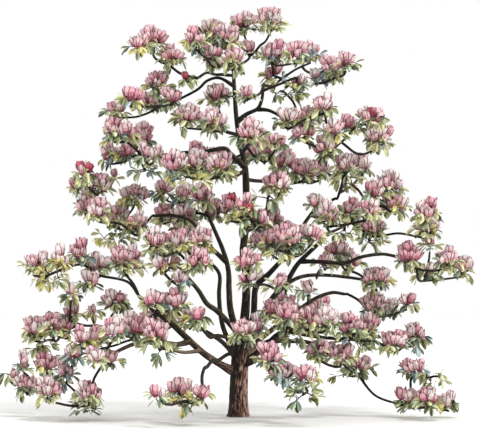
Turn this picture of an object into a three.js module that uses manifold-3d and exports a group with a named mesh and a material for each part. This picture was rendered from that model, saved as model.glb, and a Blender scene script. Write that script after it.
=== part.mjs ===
// A saucer magnolia 6 m tall, in full blossom with its young leaves.
// Millimetres, +Z up, +X to the right and -Y to the front.
// The origin is the middle of the flat cut under the trunk, at ground level.
//
// The trunk runs up through the crown. Tapering boughs leave it, and each carries a mass: one stem that
// branches into twigs, with goblet blossoms standing on them and leaves hanging from them.
import * as THREE from "three";
import { mergeVertices } from "three/addons/utils/BufferGeometryUtils.js";
import Module from "manifold-3d";

const wasm = await Module();
wasm.setup();

// ---- Driving dimensions -------------------------------------------------------------------------------

const CLEAR = 0.3; // gap between two solids that meet
const WELD = 1e-3; // vertices nearer than this are one vertex
const PINCH = 0.01; // and vertices of a finished solid are at least this far apart
const JOIN_SLIVER = 0.1; // detail smaller than this is taken out after a join
const CUT_SLIVER = 0.05; // and after a cut
const TRUNK_SIDES = 12;
const BOUGH_SIDES = 6;
const TWIG_SIDES = 3;
const BOUGH_STEP = 320; // length of one straight stretch
const STEM_STEP = 500;
const FLARE_LOBES = 5; // buttresses of the root flare
const FLARE_DEPTH = 0.1;
const FLARE_TOP = 260; // height where the flare has run out

const BLOSSOM_TALL = 1.5; // height of a blossom over its pad's half height: it stands for a few real ones
const BLOSSOM_WIDE = 1.5; // and its width over the pad's half width
const BLOSSOM_RISE = 0.12; // how high its middle stands in its pad, over the pad's half height
const BLOSSOM_SHIFT = 0.3; // how far it may move from there, over the pad's half size
const SMALLEST_BLOSSOM = 0.6; // and what share of its size it may shrink to, where room is short
const STEEPEST_BEND = 0.25; // cosine of the sharpest bend from a twig into its blossom
const RIM_DIP = 0.16; // share of its height that every other petal is shorter
const LEAN = 0.35; // furthest that a blossom leans, over its height
const LEAF_PAD = 1.45; // a pad flatter than this, in half width over half height, holds leaves alone
const SHORTEST_LEAF = 150; // one solid leaf stands for a spray
const LONGEST_LEAF = 330;
const LEAF_SHAPE = 0.55; // width over length
const LEAF_THICKNESS = 12;
const LEAF_WIDEST = 0.6; // how far along a leaf it is widest
const LEAF_ROLL = 1.6; // range of angles that leaves are turned about their own length
const LEAF_TOP = 0.25; // how high in its pad a leaf's tip may lie, over the pad's half height
const LEAF_SKIN = 0.75; // and how far out it lies at least
const TWIG_STOP = 260; // how far from a leaf's tip its twig ends, where the tip is out of reach

const TRUNK_STEM_RADIUS = 28; // a stem that leaves the trunk by itself
const STEM_SHARE = 0.9; // radius of a stem's foot over that of its bough's tip
const SIDE_STEM_RADIUS = 12; // of the end of a side stem
const STEM_END_RADIUS = 16;
const STEM_DROP = 0.95; // how low a stem runs through a pad with a blossom, over the pad's half height
const SHARPEST_BEND = -0.2; // cosine of the sharpest bend of a stem at a pad
const STEEP = 0.8; // rise over run of a stem between two pads from which it swings behind a blossom
const SWING = 0.9; // and how far it swings, over the pad's half width
const STEM_REACH = 0.6; // how far its end goes towards the last pad's far side
const STEM_RISE = 0.1; // and how far it rises on the way
const TWIG_SHARE = 0.35; // radius of a twig's foot over that of its host, so that the foot lies inside
const THINNEST_FOOT = 3;
const TWIG_END_RADIUS = 8;
const SHORTEST_TWIG = 40;
const FORK_MARGIN = 0.1; // share of a stretch at each end that twigs don't fork from
const FALL_COST = 0.8; // how much a twig that has to come down is put off

const LEAF_ROOM = 210000; // mm2 of a pad's front for one leaf, below a blossom
const LEAF_PAD_ROOM = 50000; // and in a pad of leaves alone
const TRIES = 24; // places tried for one blossom or leaf
const DEPTH_SHARE = 0.85; // a pad's half depth over its half width
const FLATTEST = 1.5; // most of a pad's half width that counts for its depth, over its half height
const SPLIT = 0.06; // share of a pad's size kept free along the border to the next mass
const BLOSSOM_LIMIT = 1.15; // how far out of its pad a blossom may reach, over the pad's half size
const LEAF_LIMIT = 1.2; // and a leaf
const LIMB_GAP = 14; // clearance of twigs to the limbs of other masses
const LEAF_GAP = 34; // of leaves
const BLOSSOM_GAP = 0.4; // and of a blossom's middle line, over its width
const OWN_GAP = 0.5; // and to the stems of its own mass
const BALL_STEP = 40; // distance between the balls that stand for a limb
const SEEDS_APART = 50; // from one mass to the next
const MOST_GROWTHS = 40; // times that a mass is grown at most, each from its next seed

// Centre line of the trunk from the ground to its tip: [x, y, z, radius].
const TRUNK = [
  [0, 0, 0, 168],
  [0, 0, 70, 149],
  [0, 0, 230, 137],
  [10, 0, 670, 131],
  [40, 0, 960, 126],
  [60, 0, 1140, 93],
  [80, 0, 1330, 70],
  [110, 20, 1690, 61],
  [110, 20, 2060, 57],
  [70, 0, 2420, 54],
  [110, -20, 2830, 53],
  [110, 0, 3370, 50],
  [80, 0, 3740, 44],
  [-10, 0, 4180, 36],
  [-50, 0, 4610, 31],
  [-75, 0, 5050, 27],
];

// Boughs: name, carrier, distance of the foot along the carrier, knees and tip, radius at foot and at tip.
const BOUGHS = [
  ["low_left", "trunk", 610,
    [[-340, -100, 810], [-560, -180, 970], [-960, -300, 1350], [-1200, -360, 1540],
      [-1370, -400, 1700]], 57, 36],
  ["low_left_outer", "low_left", 890,
    [[-900, -360, 1060], [-1260, -550, 1120], [-1490, -680, 1070], [-1710, -760, 970],
      [-1820, -800, 880]], 38, 25],
  ["left_shelf", "low_left", 1510, [[-1430, -100, 1370], [-1710, 150, 1310], [-1960, 300, 1260]], 29, 22],
  ["left_front", "low_left", 690, [[-750, -550, 950], [-930, -1000, 1000], [-1090, -1300, 1060]], 29, 22],
  ["left_heart", "trunk", 1140,
    [[-280, -250, 1510], [-450, -420, 1640], [-560, -650, 1820], [-680, -850, 1970],
      [-790, -1000, 2090]], 42, 26],
  ["back_left", "trunk", 830,
    [[-170, 160, 1150], [-260, 320, 1440], [-290, 550, 1770], [-290, 850, 2080],
      [-450, 1100, 2280]], 42, 25],
  ["left_upright", "trunk", 1050,
    [[-100, 60, 1470], [-140, 140, 1840], [-150, 200, 2130], [-230, 320, 2430], [-430, 600, 2900]], 53, 28],
  ["left_crossing", "left_upright", 1260,
    [[-410, 280, 2470], [-570, 320, 2710], [-730, 360, 2880], [-990, 420, 2950],
      [-1230, 460, 2940]], 34, 22],
  ["upper_left", "trunk", 3650,
    [[-110, -80, 3820], [-210, -120, 3900], [-470, -100, 3860], [-740, -40, 3850],
      [-1000, 20, 3830]], 38, 22],
  ["top_left", "trunk", 4850,
    [[-280, 40, 4950], [-460, 50, 4910], [-610, 80, 4780], [-930, 150, 4620]], 25, 18],
  ["top_right", "trunk", 4320,
    [[120, -20, 4410], [280, -40, 4490], [340, -40, 4620], [360, -40, 4780]], 32, 23],
  ["upper_right", "top_right", 350, [[430, -100, 4460], [560, -200, 4390], [690, -300, 4290]], 26, 20],
  ["right_upright", "trunk", 1040,
    [[210, -80, 1430], [250, -180, 1870], [410, -350, 2040], [540, -500, 2180]], 52, 34],
  ["right_rising", "right_upright", 1040,
    [[610, 100, 2250], [850, 350, 2610], [1030, 500, 2900], [1220, 550, 3120], [1420, 500, 3190]], 34, 22],
  ["right_middle", "trunk", 940,
    [[340, 100, 1430], [490, 140, 1710], [710, 160, 1970], [870, 120, 2220], [1100, 60, 2450],
      [1290, 20, 2630]], 51, 26],
  ["right_long", "right_middle", 1010,
    [[780, 300, 1970], [1000, 380, 2050], [1310, 460, 2060], [1620, 520, 2030], [1830, 560, 2000]], 31, 22],
  ["right_far", "right_middle", 1600,
    [[1210, -100, 2250], [1530, -160, 2230], [1790, -180, 2320], [2080, -160, 2360],
      [2320, -140, 2320]], 31, 22],
  ["right_arch", "trunk", 880,
    [[410, 260, 1190], [680, 460, 1390], [920, 660, 1560], [1170, 820, 1720], [1410, 920, 1800],
      [1600, 960, 1780]], 42, 23],
  ["low_right", "trunk", 700,
    [[300, -120, 950], [460, -220, 1100], [610, -360, 1220], [950, -620, 1310]], 50, 32],
  ["low_right_outer", "low_right", 660,
    [[720, -100, 1100], [1010, -120, 1080], [1210, -200, 980], [1370, -240, 870]], 35, 28],
  ["back_low_left", "trunk", 760, [[-190, 500, 1020], [-400, 1000, 1160], [-660, 1450, 1300]], 41, 26],
  ["back_low_right", "trunk", 790, [[290, 500, 1010], [570, 1000, 1110], [890, 1450, 1230]], 41, 26],
];

// Masses: name, carrier, distance of the stem's foot along the carrier, knees of the stem, and the pads that
// the mass fills. A pad is an ellipsoid: [x, y, z, half width, half height].
const TIP = Infinity;
const MASSES = [
  ["left_far", "low_left", TIP, [],
    [[-1600, -630, 2280, 260, 240], [-2070, 300, 2240, 190, 190], [-2340, 80, 2410, 180, 210],
     [-2540, -630, 2310, 140, 200], [-2950, 350, 2250, 220, 190], [-2780, -380, 2030, 290, 140],
     [-2160, 100, 2000, 180, 150]]],
  ["low_left", "low_left_outer", TIP, [],
    [[-2070, -1150, 430, 200, 180], [-2140, -730, 190, 240, 140], [-2450, -680, 690, 160, 180],
     [-2800, 150, 780, 190, 180], [-2670, -1000, 460, 210, 180], [-3050, -180, 510, 190, 190],
     [-3090, -380, 820, 120, 160], [-3330, 50, 650, 130, 150], [-2340, -800, 960, 160, 130]]],
  ["left_shelf", "left_shelf", TIP, [],
    [[-1810, 120, 1710, 220, 190], [-2200, 750, 1570, 120, 120], [-2470, 380, 1540, 160, 160],
     [-2440, -30, 1820, 130, 160], [-2550, 450, 1290, 150, 180], [-2740, 20, 1360, 180, 190],
     [-3050, 550, 1300, 180, 190], [-2900, 280, 1070, 250, 150]]],
  ["left_front", "left_front", TIP, [],
    [[-1140, -1650, 1250, 210, 210], [-1460, -1180, 1350, 200, 210], [-1090, -1230, 1000, 240, 130],
     [-1720, -1600, 1330, 160, 210], [-2000, -830, 1190, 170, 200], [-2170, -1280, 1200, 150, 180],
     [-1950, -1650, 950, 150, 140], [-1790, -1150, 910, 140, 140]]],
  ["hanging_left", "trunk", 860, [[-290, -400, 830], [-440, -1000, 760], [-500, -1500, 640]],
    [[-510, -1950, 470, 150, 160], [-790, -1580, 510, 190, 160], [-740, -1930, 340, 270, 110],
     [-1060, -2250, 490, 130, 150]]],
  ["inner_left", "trunk", 1020, [[-300, -500, 1190], [-480, -1000, 1260], [-570, -1300, 1340]],
    [[-540, -1650, 1510, 150, 150], [-890, -1380, 1710, 220, 190], [-1190, -1580, 1730, 150, 160]]],
  ["left_heart", "left_heart", TIP, [],
    [[-560, -1450, 2280, 190, 190], [-540, -1080, 2570, 200, 210], [-860, -1230, 2550, 180, 190],
     [-1130, -1600, 2520, 160, 190], [-1040, -1180, 2230, 220, 170], [-820, -1380, 2000, 170, 120]]],
  ["back_left", "back_left", TIP, [],
    [[-600, 1080, 2570, 210, 210], [-850, 1860, 2860, 230, 200], [-1110, 1700, 2530, 250, 230]]],
  ["left_middle", "left_upright", TIP, [],
    [[-530, 500, 3280, 190, 180], [-400, 1150, 3080, 170, 180], [-820, 900, 3320, 180, 170],
     [-820, 800, 3030, 210, 180], [-1150, 1100, 3390, 170, 170], [-1140, 1000, 3010, 180, 180]]],
  ["left_outer", "left_crossing", TIP, [],
    [[-1500, 120, 2840, 190, 210], [-1830, 1000, 2990, 200, 230], [-1810, 540, 2660, 300, 130],
     [-2020, -80, 3020, 190, 200], [-2280, 800, 3150, 180, 230], [-2090, 320, 3420, 210, 190],
     [-1570, 940, 3310, 230, 170], [-1880, 540, 3580, 120, 150], [-2270, -30, 3600, 160, 170],
     [-2440, 750, 3450, 120, 120]]],
  ["upper_left_inner", "trunk", 3590, [[-60, -250, 3480], [-160, -500, 3460], [-230, -700, 3480]],
    [[-270, -1000, 3610, 210, 200], [-580, -630, 3680, 200, 200], [-910, -880, 3630, 210, 210],
     [-640, -1300, 3390, 250, 120]]],
  ["upper_left", "upper_left", TIP, [],
    [[-1270, -230, 3850, 200, 200], [-1440, 350, 4160, 190, 190], [-1670, 130, 3910, 160, 190],
     [-1620, -280, 4140, 140, 170], [-1890, 250, 3870, 160, 180], [-1850, -230, 4180, 160, 190],
     [-1410, 600, 3650, 190, 120]]],
  ["upper_left_front", "trunk", 4120, [[-160, -200, 4130], [-270, -350, 4150]],
    [[-360, -600, 4290, 210, 190], [-750, -180, 4380, 220, 200], [-310, -180, 4700, 220, 170]]],
  ["top_left", "top_left", TIP, [],
    [[-990, -180, 4680, 170, 160], [-1310, 650, 4670, 180, 160], [-1200, 280, 4950, 210, 180],
     [-1550, -330, 4650, 190, 170], [-1810, 500, 4560, 180, 160]]],
  ["tip_left", "trunk", 5010, [[-240, -50, 4990], [-470, -100, 5010]],
    [[-730, -300, 4970, 130, 120], [-1010, 150, 5310, 190, 180], [-1280, -50, 5540, 220, 190],
     [-1450, -350, 5410, 170, 140]]],
  ["crown_top", "trunk", TIP, [],
    [[-90, -400, 5200, 200, 200], [160, 300, 5430, 130, 160], [-380, -310, 5270, 200, 200],
     [-170, -290, 5530, 190, 220], [-400, 100, 5690, 180, 190], [-620, -500, 5460, 170, 170],
     [70, 560, 5870, 210, 180], [480, 100, 5840, 220, 190]]],
  ["top_right", "top_right", TIP, [],
    [[120, -500, 4700, 140, 140], [540, 250, 5040, 180, 160], [490, 50, 5350, 200, 190],
     [820, -550, 5270, 170, 190], [1070, 300, 5380, 160, 180], [860, -200, 4880, 140, 140],
     [1140, 450, 5060, 160, 160], [1380, 50, 5120, 190, 190], [1550, -300, 5170, 160, 140]]],
  ["upper_right", "upper_right", TIP, [],
    [[730, -650, 4320, 190, 190], [1030, -50, 4390, 190, 170], [670, -200, 4710, 290, 120],
     [1210, -750, 4500, 160, 170], [950, -50, 4160, 200, 160], [1350, -800, 4140, 180, 170],
     [1270, 50, 3960, 190, 190], [1640, -200, 4270, 160, 130], [1900, -450, 4350, 220, 170],
     [2070, 100, 4110, 220, 190]]],
  ["front_upper", "trunk", 3880, [[110, -300, 3890], [160, -600, 3930]],
    [[170, -1100, 4060, 210, 200], [380, -430, 3850, 190, 200], [530, -680, 3990, 140, 170]]],
  ["right_upper_inner", "trunk", 3470, [[380, 400, 3450]],
    [[960, 430, 3650, 210, 210], [710, 1160, 3820, 200, 210], [1210, 850, 3680, 180, 200]]],
  ["front_middle", "trunk", 3240, [[170, -300, 3020], [160, -700, 2880]],
    [[120, -1200, 3020, 170, 180], [-110, -830, 3040, 170, 210], [260, -1030, 2850, 200, 170],
     [-10, -1250, 2780, 170, 110], [580, -480, 3390, 210, 200], [420, -830, 3150, 170, 110]]],
  ["right_inner", "right_upright", TIP, [],
    [[720, -1190, 2560, 190, 210], [460, -830, 2570, 180, 240], [1020, -890, 2640, 180, 180],
     [630, -1310, 2370, 220, 100]]],
  ["right_shoulder", "right_rising", TIP, [],
    [[1560, 120, 3700, 180, 190], [1880, 950, 3760, 170, 170], [1620, 380, 3500, 210, 130],
     [1970, -130, 3280, 160, 200], [2270, 550, 3440, 210, 210], [2240, -130, 3100, 220, 160]]],
  ["right_middle", "right_middle", TIP, [],
    [[1310, -430, 2940, 190, 200], [1650, 400, 3040, 190, 210], [1130, 80, 3140, 150, 160],
     [1870, -630, 3010, 170, 170], [1980, 200, 2780, 210, 160], [1520, -530, 2700, 200, 110],
     [1940, 300, 2560, 220, 130], [2730, 30, 2760, 230, 160], [2700, -580, 2990, 200, 210]]],
  ["right_far", "right_far", TIP, [],
    [[2450, -380, 2360, 190, 190], [2780, 250, 2130, 190, 160], [2800, 80, 2530, 100, 150],
     [2980, -530, 2310, 200, 190], [3340, 350, 2210, 160, 180]]],
  ["right_long", "right_long", TIP, [],
    [[2050, 400, 2030, 220, 210], [1690, 1050, 2300, 180, 170], [1500, 800, 2460, 180, 200],
     [1270, 450, 2290, 150, 150]]],
  ["right_arch", "right_arch", TIP, [],
    [[2010, 750, 1650, 210, 200], [2330, 1400, 1600, 180, 150], [2550, 1000, 1690, 170, 150]]],
  ["low_right_inner", "low_right", TIP, [],
    [[670, -1350, 1490, 190, 190], [480, -630, 1610, 170, 170], [970, -1130, 1460, 200, 200],
     [1240, -1250, 1460, 180, 190], [870, -780, 1240, 340, 110], [980, -880, 1880, 140, 110]]],
  ["low_right_outer", "low_right", 990, [],
    [[1570, -750, 1340, 200, 210], [1880, 0, 1330, 200, 220], [1700, -500, 1110, 240, 130],
     [2210, -500, 1140, 200, 200], [2540, 50, 1200, 190, 200]]],
  ["low_right_tip", "low_right_outer", TIP, [],
    [[1440, -640, 940, 210, 200], [1750, -70, 770, 190, 190], [2440, -340, 320, 200, 160],
     [2670, -870, 340, 180, 160], [3030, -270, 260, 150, 170], [1120, -800, 1030, 170, 180],
     [1620, 70, 590, 230, 130], [2540, -320, 750, 200, 160], [2780, -590, 610, 210, 130],
     [2600, -140, 160, 290, 100]]],
  ["hanging_right", "trunk", 730, [[260, -400, 830], [380, -1000, 800], [420, -1400, 790]],
    [[430, -1850, 970, 190, 180], [620, -1330, 720, 210, 170], [900, -1780, 690, 180, 200],
     [870, -2100, 440, 240, 130]]],
  ["front_low", "trunk", 1050, [[110, -500, 1060], [100, -1100, 1120]],
    [[60, -1750, 1310, 180, 190], [290, -1080, 1380, 140, 170]]],
  ["front_heart", "trunk", 1840, [[160, -500, 1900], [150, -1200, 1960]],
    [[140, -2050, 2250, 170, 170], [160, -1430, 2030, 170, 150], [530, -1630, 1960, 180, 140]]],
  ["back_low_left", "back_low_left", TIP, [],
    [[-750, 1380, 1410, 220, 180], [-1090, 2260, 1640, 250, 220], [-1310, 1900, 1370, 240, 200]]],
  ["back_low_right", "back_low_right", TIP, [],
    [[900, 1480, 1430, 230, 220], [1280, 2260, 1570, 220, 190], [700, 2100, 1640, 220, 210]]],
  ["back_middle", "trunk", 2690, [[350, 500, 2700], [440, 1100, 2700]],
    [[510, 1080, 2950, 230, 210], [760, 1910, 2750, 240, 220], [380, 1550, 2650, 220, 190]]],
  ["back_upper", "trunk", 3740, [[-60, 400, 3760], [-150, 800, 3780]],
    [[-320, 780, 3800, 230, 210], [-590, 1210, 3950, 200, 180], [270, 1000, 4130, 210, 200],
     [110, 830, 3920, 170, 170]]],
];

// ---- Materials ----------------------------------------------------------------------------------------

const BARK = new THREE.MeshStandardMaterial({ color: 0x4a3b33, roughness: 0.9, metalness: 0 });
const BLOSSOM = new THREE.MeshStandardMaterial({ color: 0xd89aa6, roughness: 0.6, metalness: 0 });

// ---- Small helpers ------------------------------------------------------------------------------------

const vector = ([x, y, z]) => new THREE.Vector3(x, y, z);

// Seeded random numbers from 0 to 1, the same in every run.
function seeded(seed) {
  let state = seed >>> 0;
  return () => {
    state = (state + 0x6d2b79f5) >>> 0;
    let t = Math.imul(state ^ (state >>> 15), state | 1);
    t = (t + Math.imul(t ^ (t >>> 7), t | 61)) ^ t;
    return ((t ^ (t >>> 14)) >>> 0) / 4294967296;
  };
}

// A closed geometry with its shared vertices merged, and without the faces that this collapses.
function welded(geometry, tolerance = WELD) {
  geometry.deleteAttribute("normal");
  geometry.deleteAttribute("uv");
  const merged = mergeVertices(geometry, tolerance);
  const corners = merged.index.array;
  const kept = [];
  for (let i = 0; i < corners.length; i += 3) {
    const [a, b, c] = corners.slice(i, i + 3);
    if (a !== b && b !== c && c !== a) kept.push(a, b, c);
  }
  return merged.setIndex(kept);
}

function solidOf(closed) {
  return new wasm.Manifold(
    new wasm.Mesh({
      numProp: 3,
      vertProperties: closed.attributes.position.array,
      triVerts: new Uint32Array(closed.index.array),
    }),
  );
}

// The largest body of a solid: cut-off scraps are dropped and sealed hollows filled.
function largestBody(solid) {
  const bodies = solid.decompose();
  return bodies.reduce((best, body) => (body.volume() > best.volume() ? body : best));
}

function geometryOf(solid) {
  const mesh = solid.getMesh();
  const geometry = new THREE.BufferGeometry();
  geometry.setAttribute("position", new THREE.BufferAttribute(new Float32Array(mesh.vertProperties), 3));
  geometry.setIndex(new THREE.BufferAttribute(new Uint32Array(mesh.triVerts), 1));
  geometry.computeVertexNormals();
  return geometry;
}

// ---- Limbs --------------------------------------------------------------------------------------------

// A limb is a smooth line cut into straight stretches, with a radius at every knot.
function limbThrough(points, [footRadius, tipRadius], step) {
  const curve = new THREE.CatmullRomCurve3(points, false, "catmullrom", 0.5);
  const length = points.slice(1).reduce((sum, point, i) => sum + point.distanceTo(points[i]), 0);
  const stretches = Math.max(points.length - 1, Math.round(length / step));
  const knots = [];
  for (let i = 0; i <= stretches; i += 1) {
    const place = i / stretches;
    knots.push({ point: curve.getPoint(place), radius: footRadius + (tipRadius - footRadius) * place });
  }
  return { knots };
}

// The point and radius at a distance along a limb, held at its tip.
function alongLimb(limb, distance) {
  let left = distance;
  for (let i = 1; i < limb.knots.length; i += 1) {
    const from = limb.knots[i - 1];
    const to = limb.knots[i];
    const stretch = from.point.distanceTo(to.point);
    if (left <= stretch) {
      const share = left / stretch;
      return {
        point: from.point.clone().lerp(to.point, share),
        radius: from.radius + (to.radius - from.radius) * share,
      };
    }
    left -= stretch;
  }
  return limb.knots[limb.knots.length - 1];
}

const endDirection = (limb) => {
  const [before, last] = limb.knots.slice(-2);
  return last.point.clone().sub(before.point).normalize();
};

// Directions of the rings at the knots: each turns on from the last without twisting.
function ringFrames(knots, upright) {
  const frames = [];
  let side = new THREE.Vector3(0, 1, 0);
  for (let i = 0; i < knots.length; i += 1) {
    const before = knots[Math.max(i - 1, 0)].point;
    const after = knots[Math.min(i + 1, knots.length - 1)].point;
    const ahead = upright ? new THREE.Vector3(0, 0, 1) : after.clone().sub(before).normalize();
    if (i === 0 && Math.abs(ahead.y) > 0.8) side = new THREE.Vector3(1, 0, 0);
    const across = side.clone().addScaledVector(ahead, -side.dot(ahead)).normalize();
    frames.push({ across, over: ahead.clone().cross(across) });
    side = across;
  }
  return frames;
}

function polygon(sides) {
  const shape = new THREE.Shape();
  for (let i = 0; i < sides; i += 1) {
    const angle = (2 * Math.PI * i) / sides;
    const corner = [Math.cos(angle), Math.sin(angle)];
    if (i === 0) shape.moveTo(...corner);
    else shape.lineTo(...corner);
  }
  shape.closePath();
  return shape;
}

// A limb as a solid: an extruded polygon bent along the knots. More than its own size, it can be grown on
// every side. The lobes of the root flare swell its foot.
function limbSolid(limb, sides, { grown = 0, upright = false, lobes = 0 } = {}) {
  const knots = limb.knots.map((knot) => ({ point: knot.point.clone(), radius: knot.radius }));
  const stretches = knots.length - 1;
  if (grown > 0) knots[stretches].point.addScaledVector(endDirection(limb), grown);
  const frames = ringFrames(knots, upright);
  const plan = { depth: stretches, steps: stretches, bevelEnabled: false };
  const geometry = new THREE.ExtrudeGeometry(polygon(sides), plan);
  const position = geometry.attributes.position;
  const spread = grown / Math.cos(Math.PI / sides);
  for (let i = 0; i < position.count; i += 1) {
    const ring = Math.round(position.getZ(i));
    const { point, radius } = knots[ring];
    const { across, over } = frames[ring];
    const angle = Math.atan2(position.getY(i), position.getX(i));
    const fade = Math.max(0, 1 - (point.z - knots[0].point.z) / FLARE_TOP);
    const swell = lobes ? 1 + FLARE_DEPTH * fade * Math.cos(lobes * angle) : 1;
    const reach = radius * swell + spread;
    const placed = point.clone();
    placed.addScaledVector(across, position.getX(i) * reach);
    placed.addScaledVector(over, position.getY(i) * reach);
    position.setXYZ(i, placed.x, placed.y, placed.z);
  }
  return solidOf(welded(geometry));
}

const limbs = new Map();
const solids = new Map();
const grownSolids = new Map();

function addTrunk() {
  const limb = { knots: TRUNK.map(([x, y, z, radius]) => ({ point: vector([x, y, z]), radius })) };
  limbs.set("trunk", limb);
  const shape = { upright: true, lobes: FLARE_LOBES };
  solids.set("trunk", limbSolid(limb, TRUNK_SIDES, shape));
  grownSolids.set("trunk", limbSolid(limb, TRUNK_SIDES, { ...shape, grown: CLEAR }));
}

// Boughs are cut clear of their carrier and of the boughs before them.
function addBough([name, carrier, footAt, way, footRadius, tipRadius]) {
  const foot = alongLimb(limbs.get(carrier), footAt).point;
  const limb = limbThrough([foot, ...way.map(vector)], [footRadius, tipRadius], BOUGH_STEP);
  let solid = limbSolid(limb, BOUGH_SIDES);
  for (const earlier of grownSolids.values()) solid = solid.subtract(earlier);
  limbs.set(name, limb);
  solids.set("bough_" + name, largestBody(solid.simplify(CUT_SLIVER)));
  grownSolids.set(name, limbSolid(limb, BOUGH_SIDES, { grown: CLEAR }));
}

addTrunk();
BOUGHS.forEach(addBough);

// ---- Pads and stems -----------------------------------------------------------------------------------

function padOf([x, y, z, halfWidth, halfHeight]) {
  const halfDepth = DEPTH_SHARE * Math.min(halfWidth, FLATTEST * halfHeight);
  return {
    centre: new THREE.Vector3(x, y, z),
    half: new THREE.Vector3(halfWidth, halfDepth, halfHeight),
    blooms: halfWidth < LEAF_PAD * halfHeight,
  };
}

// How far out in a pad a point lies: 0 at the middle, 1 at the edge.
const reachIn = (pad, point) => point.clone().sub(pad.centre).divide(pad.half).length();

// Where the stem passes a pad: below its blossom, or through the middle of its leaves.
function hubOf(pad) {
  const hub = pad.centre.clone();
  if (pad.blooms) hub.z -= STEM_DROP * pad.half.z;
  return hub;
}

const nearestTo = (pads, pad) => {
  const gap = (other) => hubOf(other).distanceTo(hubOf(pad));
  return pads.reduce((best, other) => (gap(other) < gap(best) ? other : best));
};

// Whether a stem that comes from a point bends gently at a pad on its way to the next.
function bendsGently(from, pad, next) {
  const course = hubOf(pad).sub(from).normalize();
  const ahead = hubOf(next).sub(hubOf(pad)).normalize();
  return course.dot(ahead) > SHARPEST_BEND;
}

// The pads of a mass in chains: each follows the nearest pad before it, or forks off there.
function chainsOf([first, ...others], start) {
  const chains = [[first]];
  for (const pad of others) {
    const before = nearestTo(chains.flat(), pad);
    const chain = chains.find((some) => some[some.length - 1] === before);
    const from = chain && chain.length > 1 ? hubOf(chain[chain.length - 2]) : start;
    if (chain && bendsGently(from, before, pad)) chain.push(pad);
    else chains.push([before, pad]);
  }
  return chains;
}

// The stem's way from one pad to the next. Where it climbs steeply, it swings behind the lower blossom.
function wayBetween(pad, next) {
  const from = hubOf(pad);
  const to = hubOf(next);
  const lower = from.z < to.z ? pad : next;
  const level = Math.hypot(to.x - from.x, to.y - from.y);
  if (!lower.blooms || Math.abs(to.z - from.z) < STEEP * level) return [to];
  const behind = from.clone().lerp(to, 0.5);
  behind.y += SWING * lower.half.x;
  return [behind, to];
}

// The last stretch of a stem that ends in leaves, to the far side of their pad.
function wayOut(pad, from) {
  const ahead = pad.centre.clone().sub(from).setZ(0).normalize();
  const extent = 1 / Math.hypot(ahead.x / pad.half.x, ahead.y / pad.half.y);
  const far = hubOf(pad).addScaledVector(ahead, STEM_REACH * extent);
  far.z += STEM_RISE * pad.half.z;
  return far;
}

// The place on a stretch nearest to a point, kept off its ends.
function nearestOn({ from, to, piece }, place, margin) {
  const along = to.point.clone().sub(from.point);
  const share = place.clone().sub(from.point).dot(along) / along.lengthSq();
  const held = Math.min(1 - margin, Math.max(margin, share));
  const host = from.radius + (to.radius - from.radius) * held;
  const radius = Math.max(THINNEST_FOOT, TWIG_SHARE * host);
  return { point: from.point.clone().lerp(to.point, held), radius, piece };
}

// The fork from which a new twig is shortest, best from below.
function forkFor(stretches, place, margin = FORK_MARGIN) {
  const cost = ({ point }) => point.distanceTo(place) + FALL_COST * Math.max(0, point.z - place.z);
  const forks = stretches.map((stretch) => nearestOn(stretch, place, margin));
  return forks.reduce((best, fork) => (cost(fork) < cost(best) ? fork : best));
}

// The stretches of a stem that twigs fork from: all but the one that leaves the carrier.
function stretchesOf(stem, piece) {
  const first = stem.isSide ? 0 : 1;
  return stem.knots.slice(first + 1).map((to, i) => ({ from: stem.knots[first + i], to, piece }));
}

// The stem of a mass along its first chain of pads, and a side stem along each further chain.
function stemsOf(mass) {
  const carrier = limbs.get(mass.carrier);
  const foot = alongLimb(carrier, mass.footAt);
  const radius = Math.min(TRUNK_STEM_RADIUS, STEM_SHARE * foot.radius);
  const start = [foot.point];
  if (mass.footAt === TIP) start.push(foot.point.clone().addScaledVector(endDirection(carrier), 3 * radius));
  start.push(...mass.way.map(vector));
  const stems = [];
  for (const chain of chainsOf(mass.pads, start[start.length - 1])) {
    const isSide = stems.length > 0;
    const fork = isSide ? forkFor(stems.flatMap(stretchesOf), hubOf(chain[1])) : null;
    const points = isSide ? [fork.point] : [...start, hubOf(chain[0])];
    for (let i = 1; i < chain.length; i += 1) points.push(...wayBetween(chain[i - 1], chain[i]));
    const last = chain[chain.length - 1];
    if (!last.blooms) points.push(wayOut(last, points[points.length - 2]));
    const radii = isSide ? [SIDE_STEM_RADIUS, SIDE_STEM_RADIUS] : [radius, STEM_END_RADIUS];
    stems.push({ ...limbThrough(points, radii, STEM_STEP), isSide });
  }
  return stems;
}

const masses = MASSES.map(([name, carrier, footAt, way, pads], index) => {
  const mass = { name, carrier, footAt, way, pads: pads.map(padOf), seed: SEEDS_APART * index };
  mass.stems = stemsOf(mass);
  return mass;
});

// ---- Space of each mass -------------------------------------------------------------------------------

// Balls along a limb, close enough together to stand for it.
function ballsAlong(limb) {
  const balls = [];
  for (let i = 1; i < limb.knots.length; i += 1) {
    const from = limb.knots[i - 1];
    const to = limb.knots[i];
    const count = Math.ceil(from.point.distanceTo(to.point) / BALL_STEP);
    for (let j = 0; j < count; j += 1) {
      const share = j / count;
      const radius = from.radius + (to.radius - from.radius) * share;
      balls.push({ point: from.point.clone().lerp(to.point, share), radius });
    }
  }
  balls.push(limb.knots[limb.knots.length - 1]);
  return balls;
}

const limbBalls = [...limbs.values()].flatMap(ballsAlong);
for (const mass of masses) mass.stemBalls = mass.stems.flatMap(ballsAlong);

const leastReach = (pads, point) => Math.min(...pads.map((pad) => reachIn(pad, point)));

// A point is in a mass's own space when it lies further in than in any other mass's pads.
function isOwn(mass, point, furthest) {
  const own = leastReach(mass.pads, point);
  const others = masses.filter((other) => other !== mass).map((other) => leastReach(other.pads, point));
  return own <= furthest && Math.min(own, 1) + SPLIT < Math.min(...others);
}

function isClearOf(balls, point, gap) {
  return balls.every((ball) => ball.point.distanceTo(point) > ball.radius + gap);
}

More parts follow.
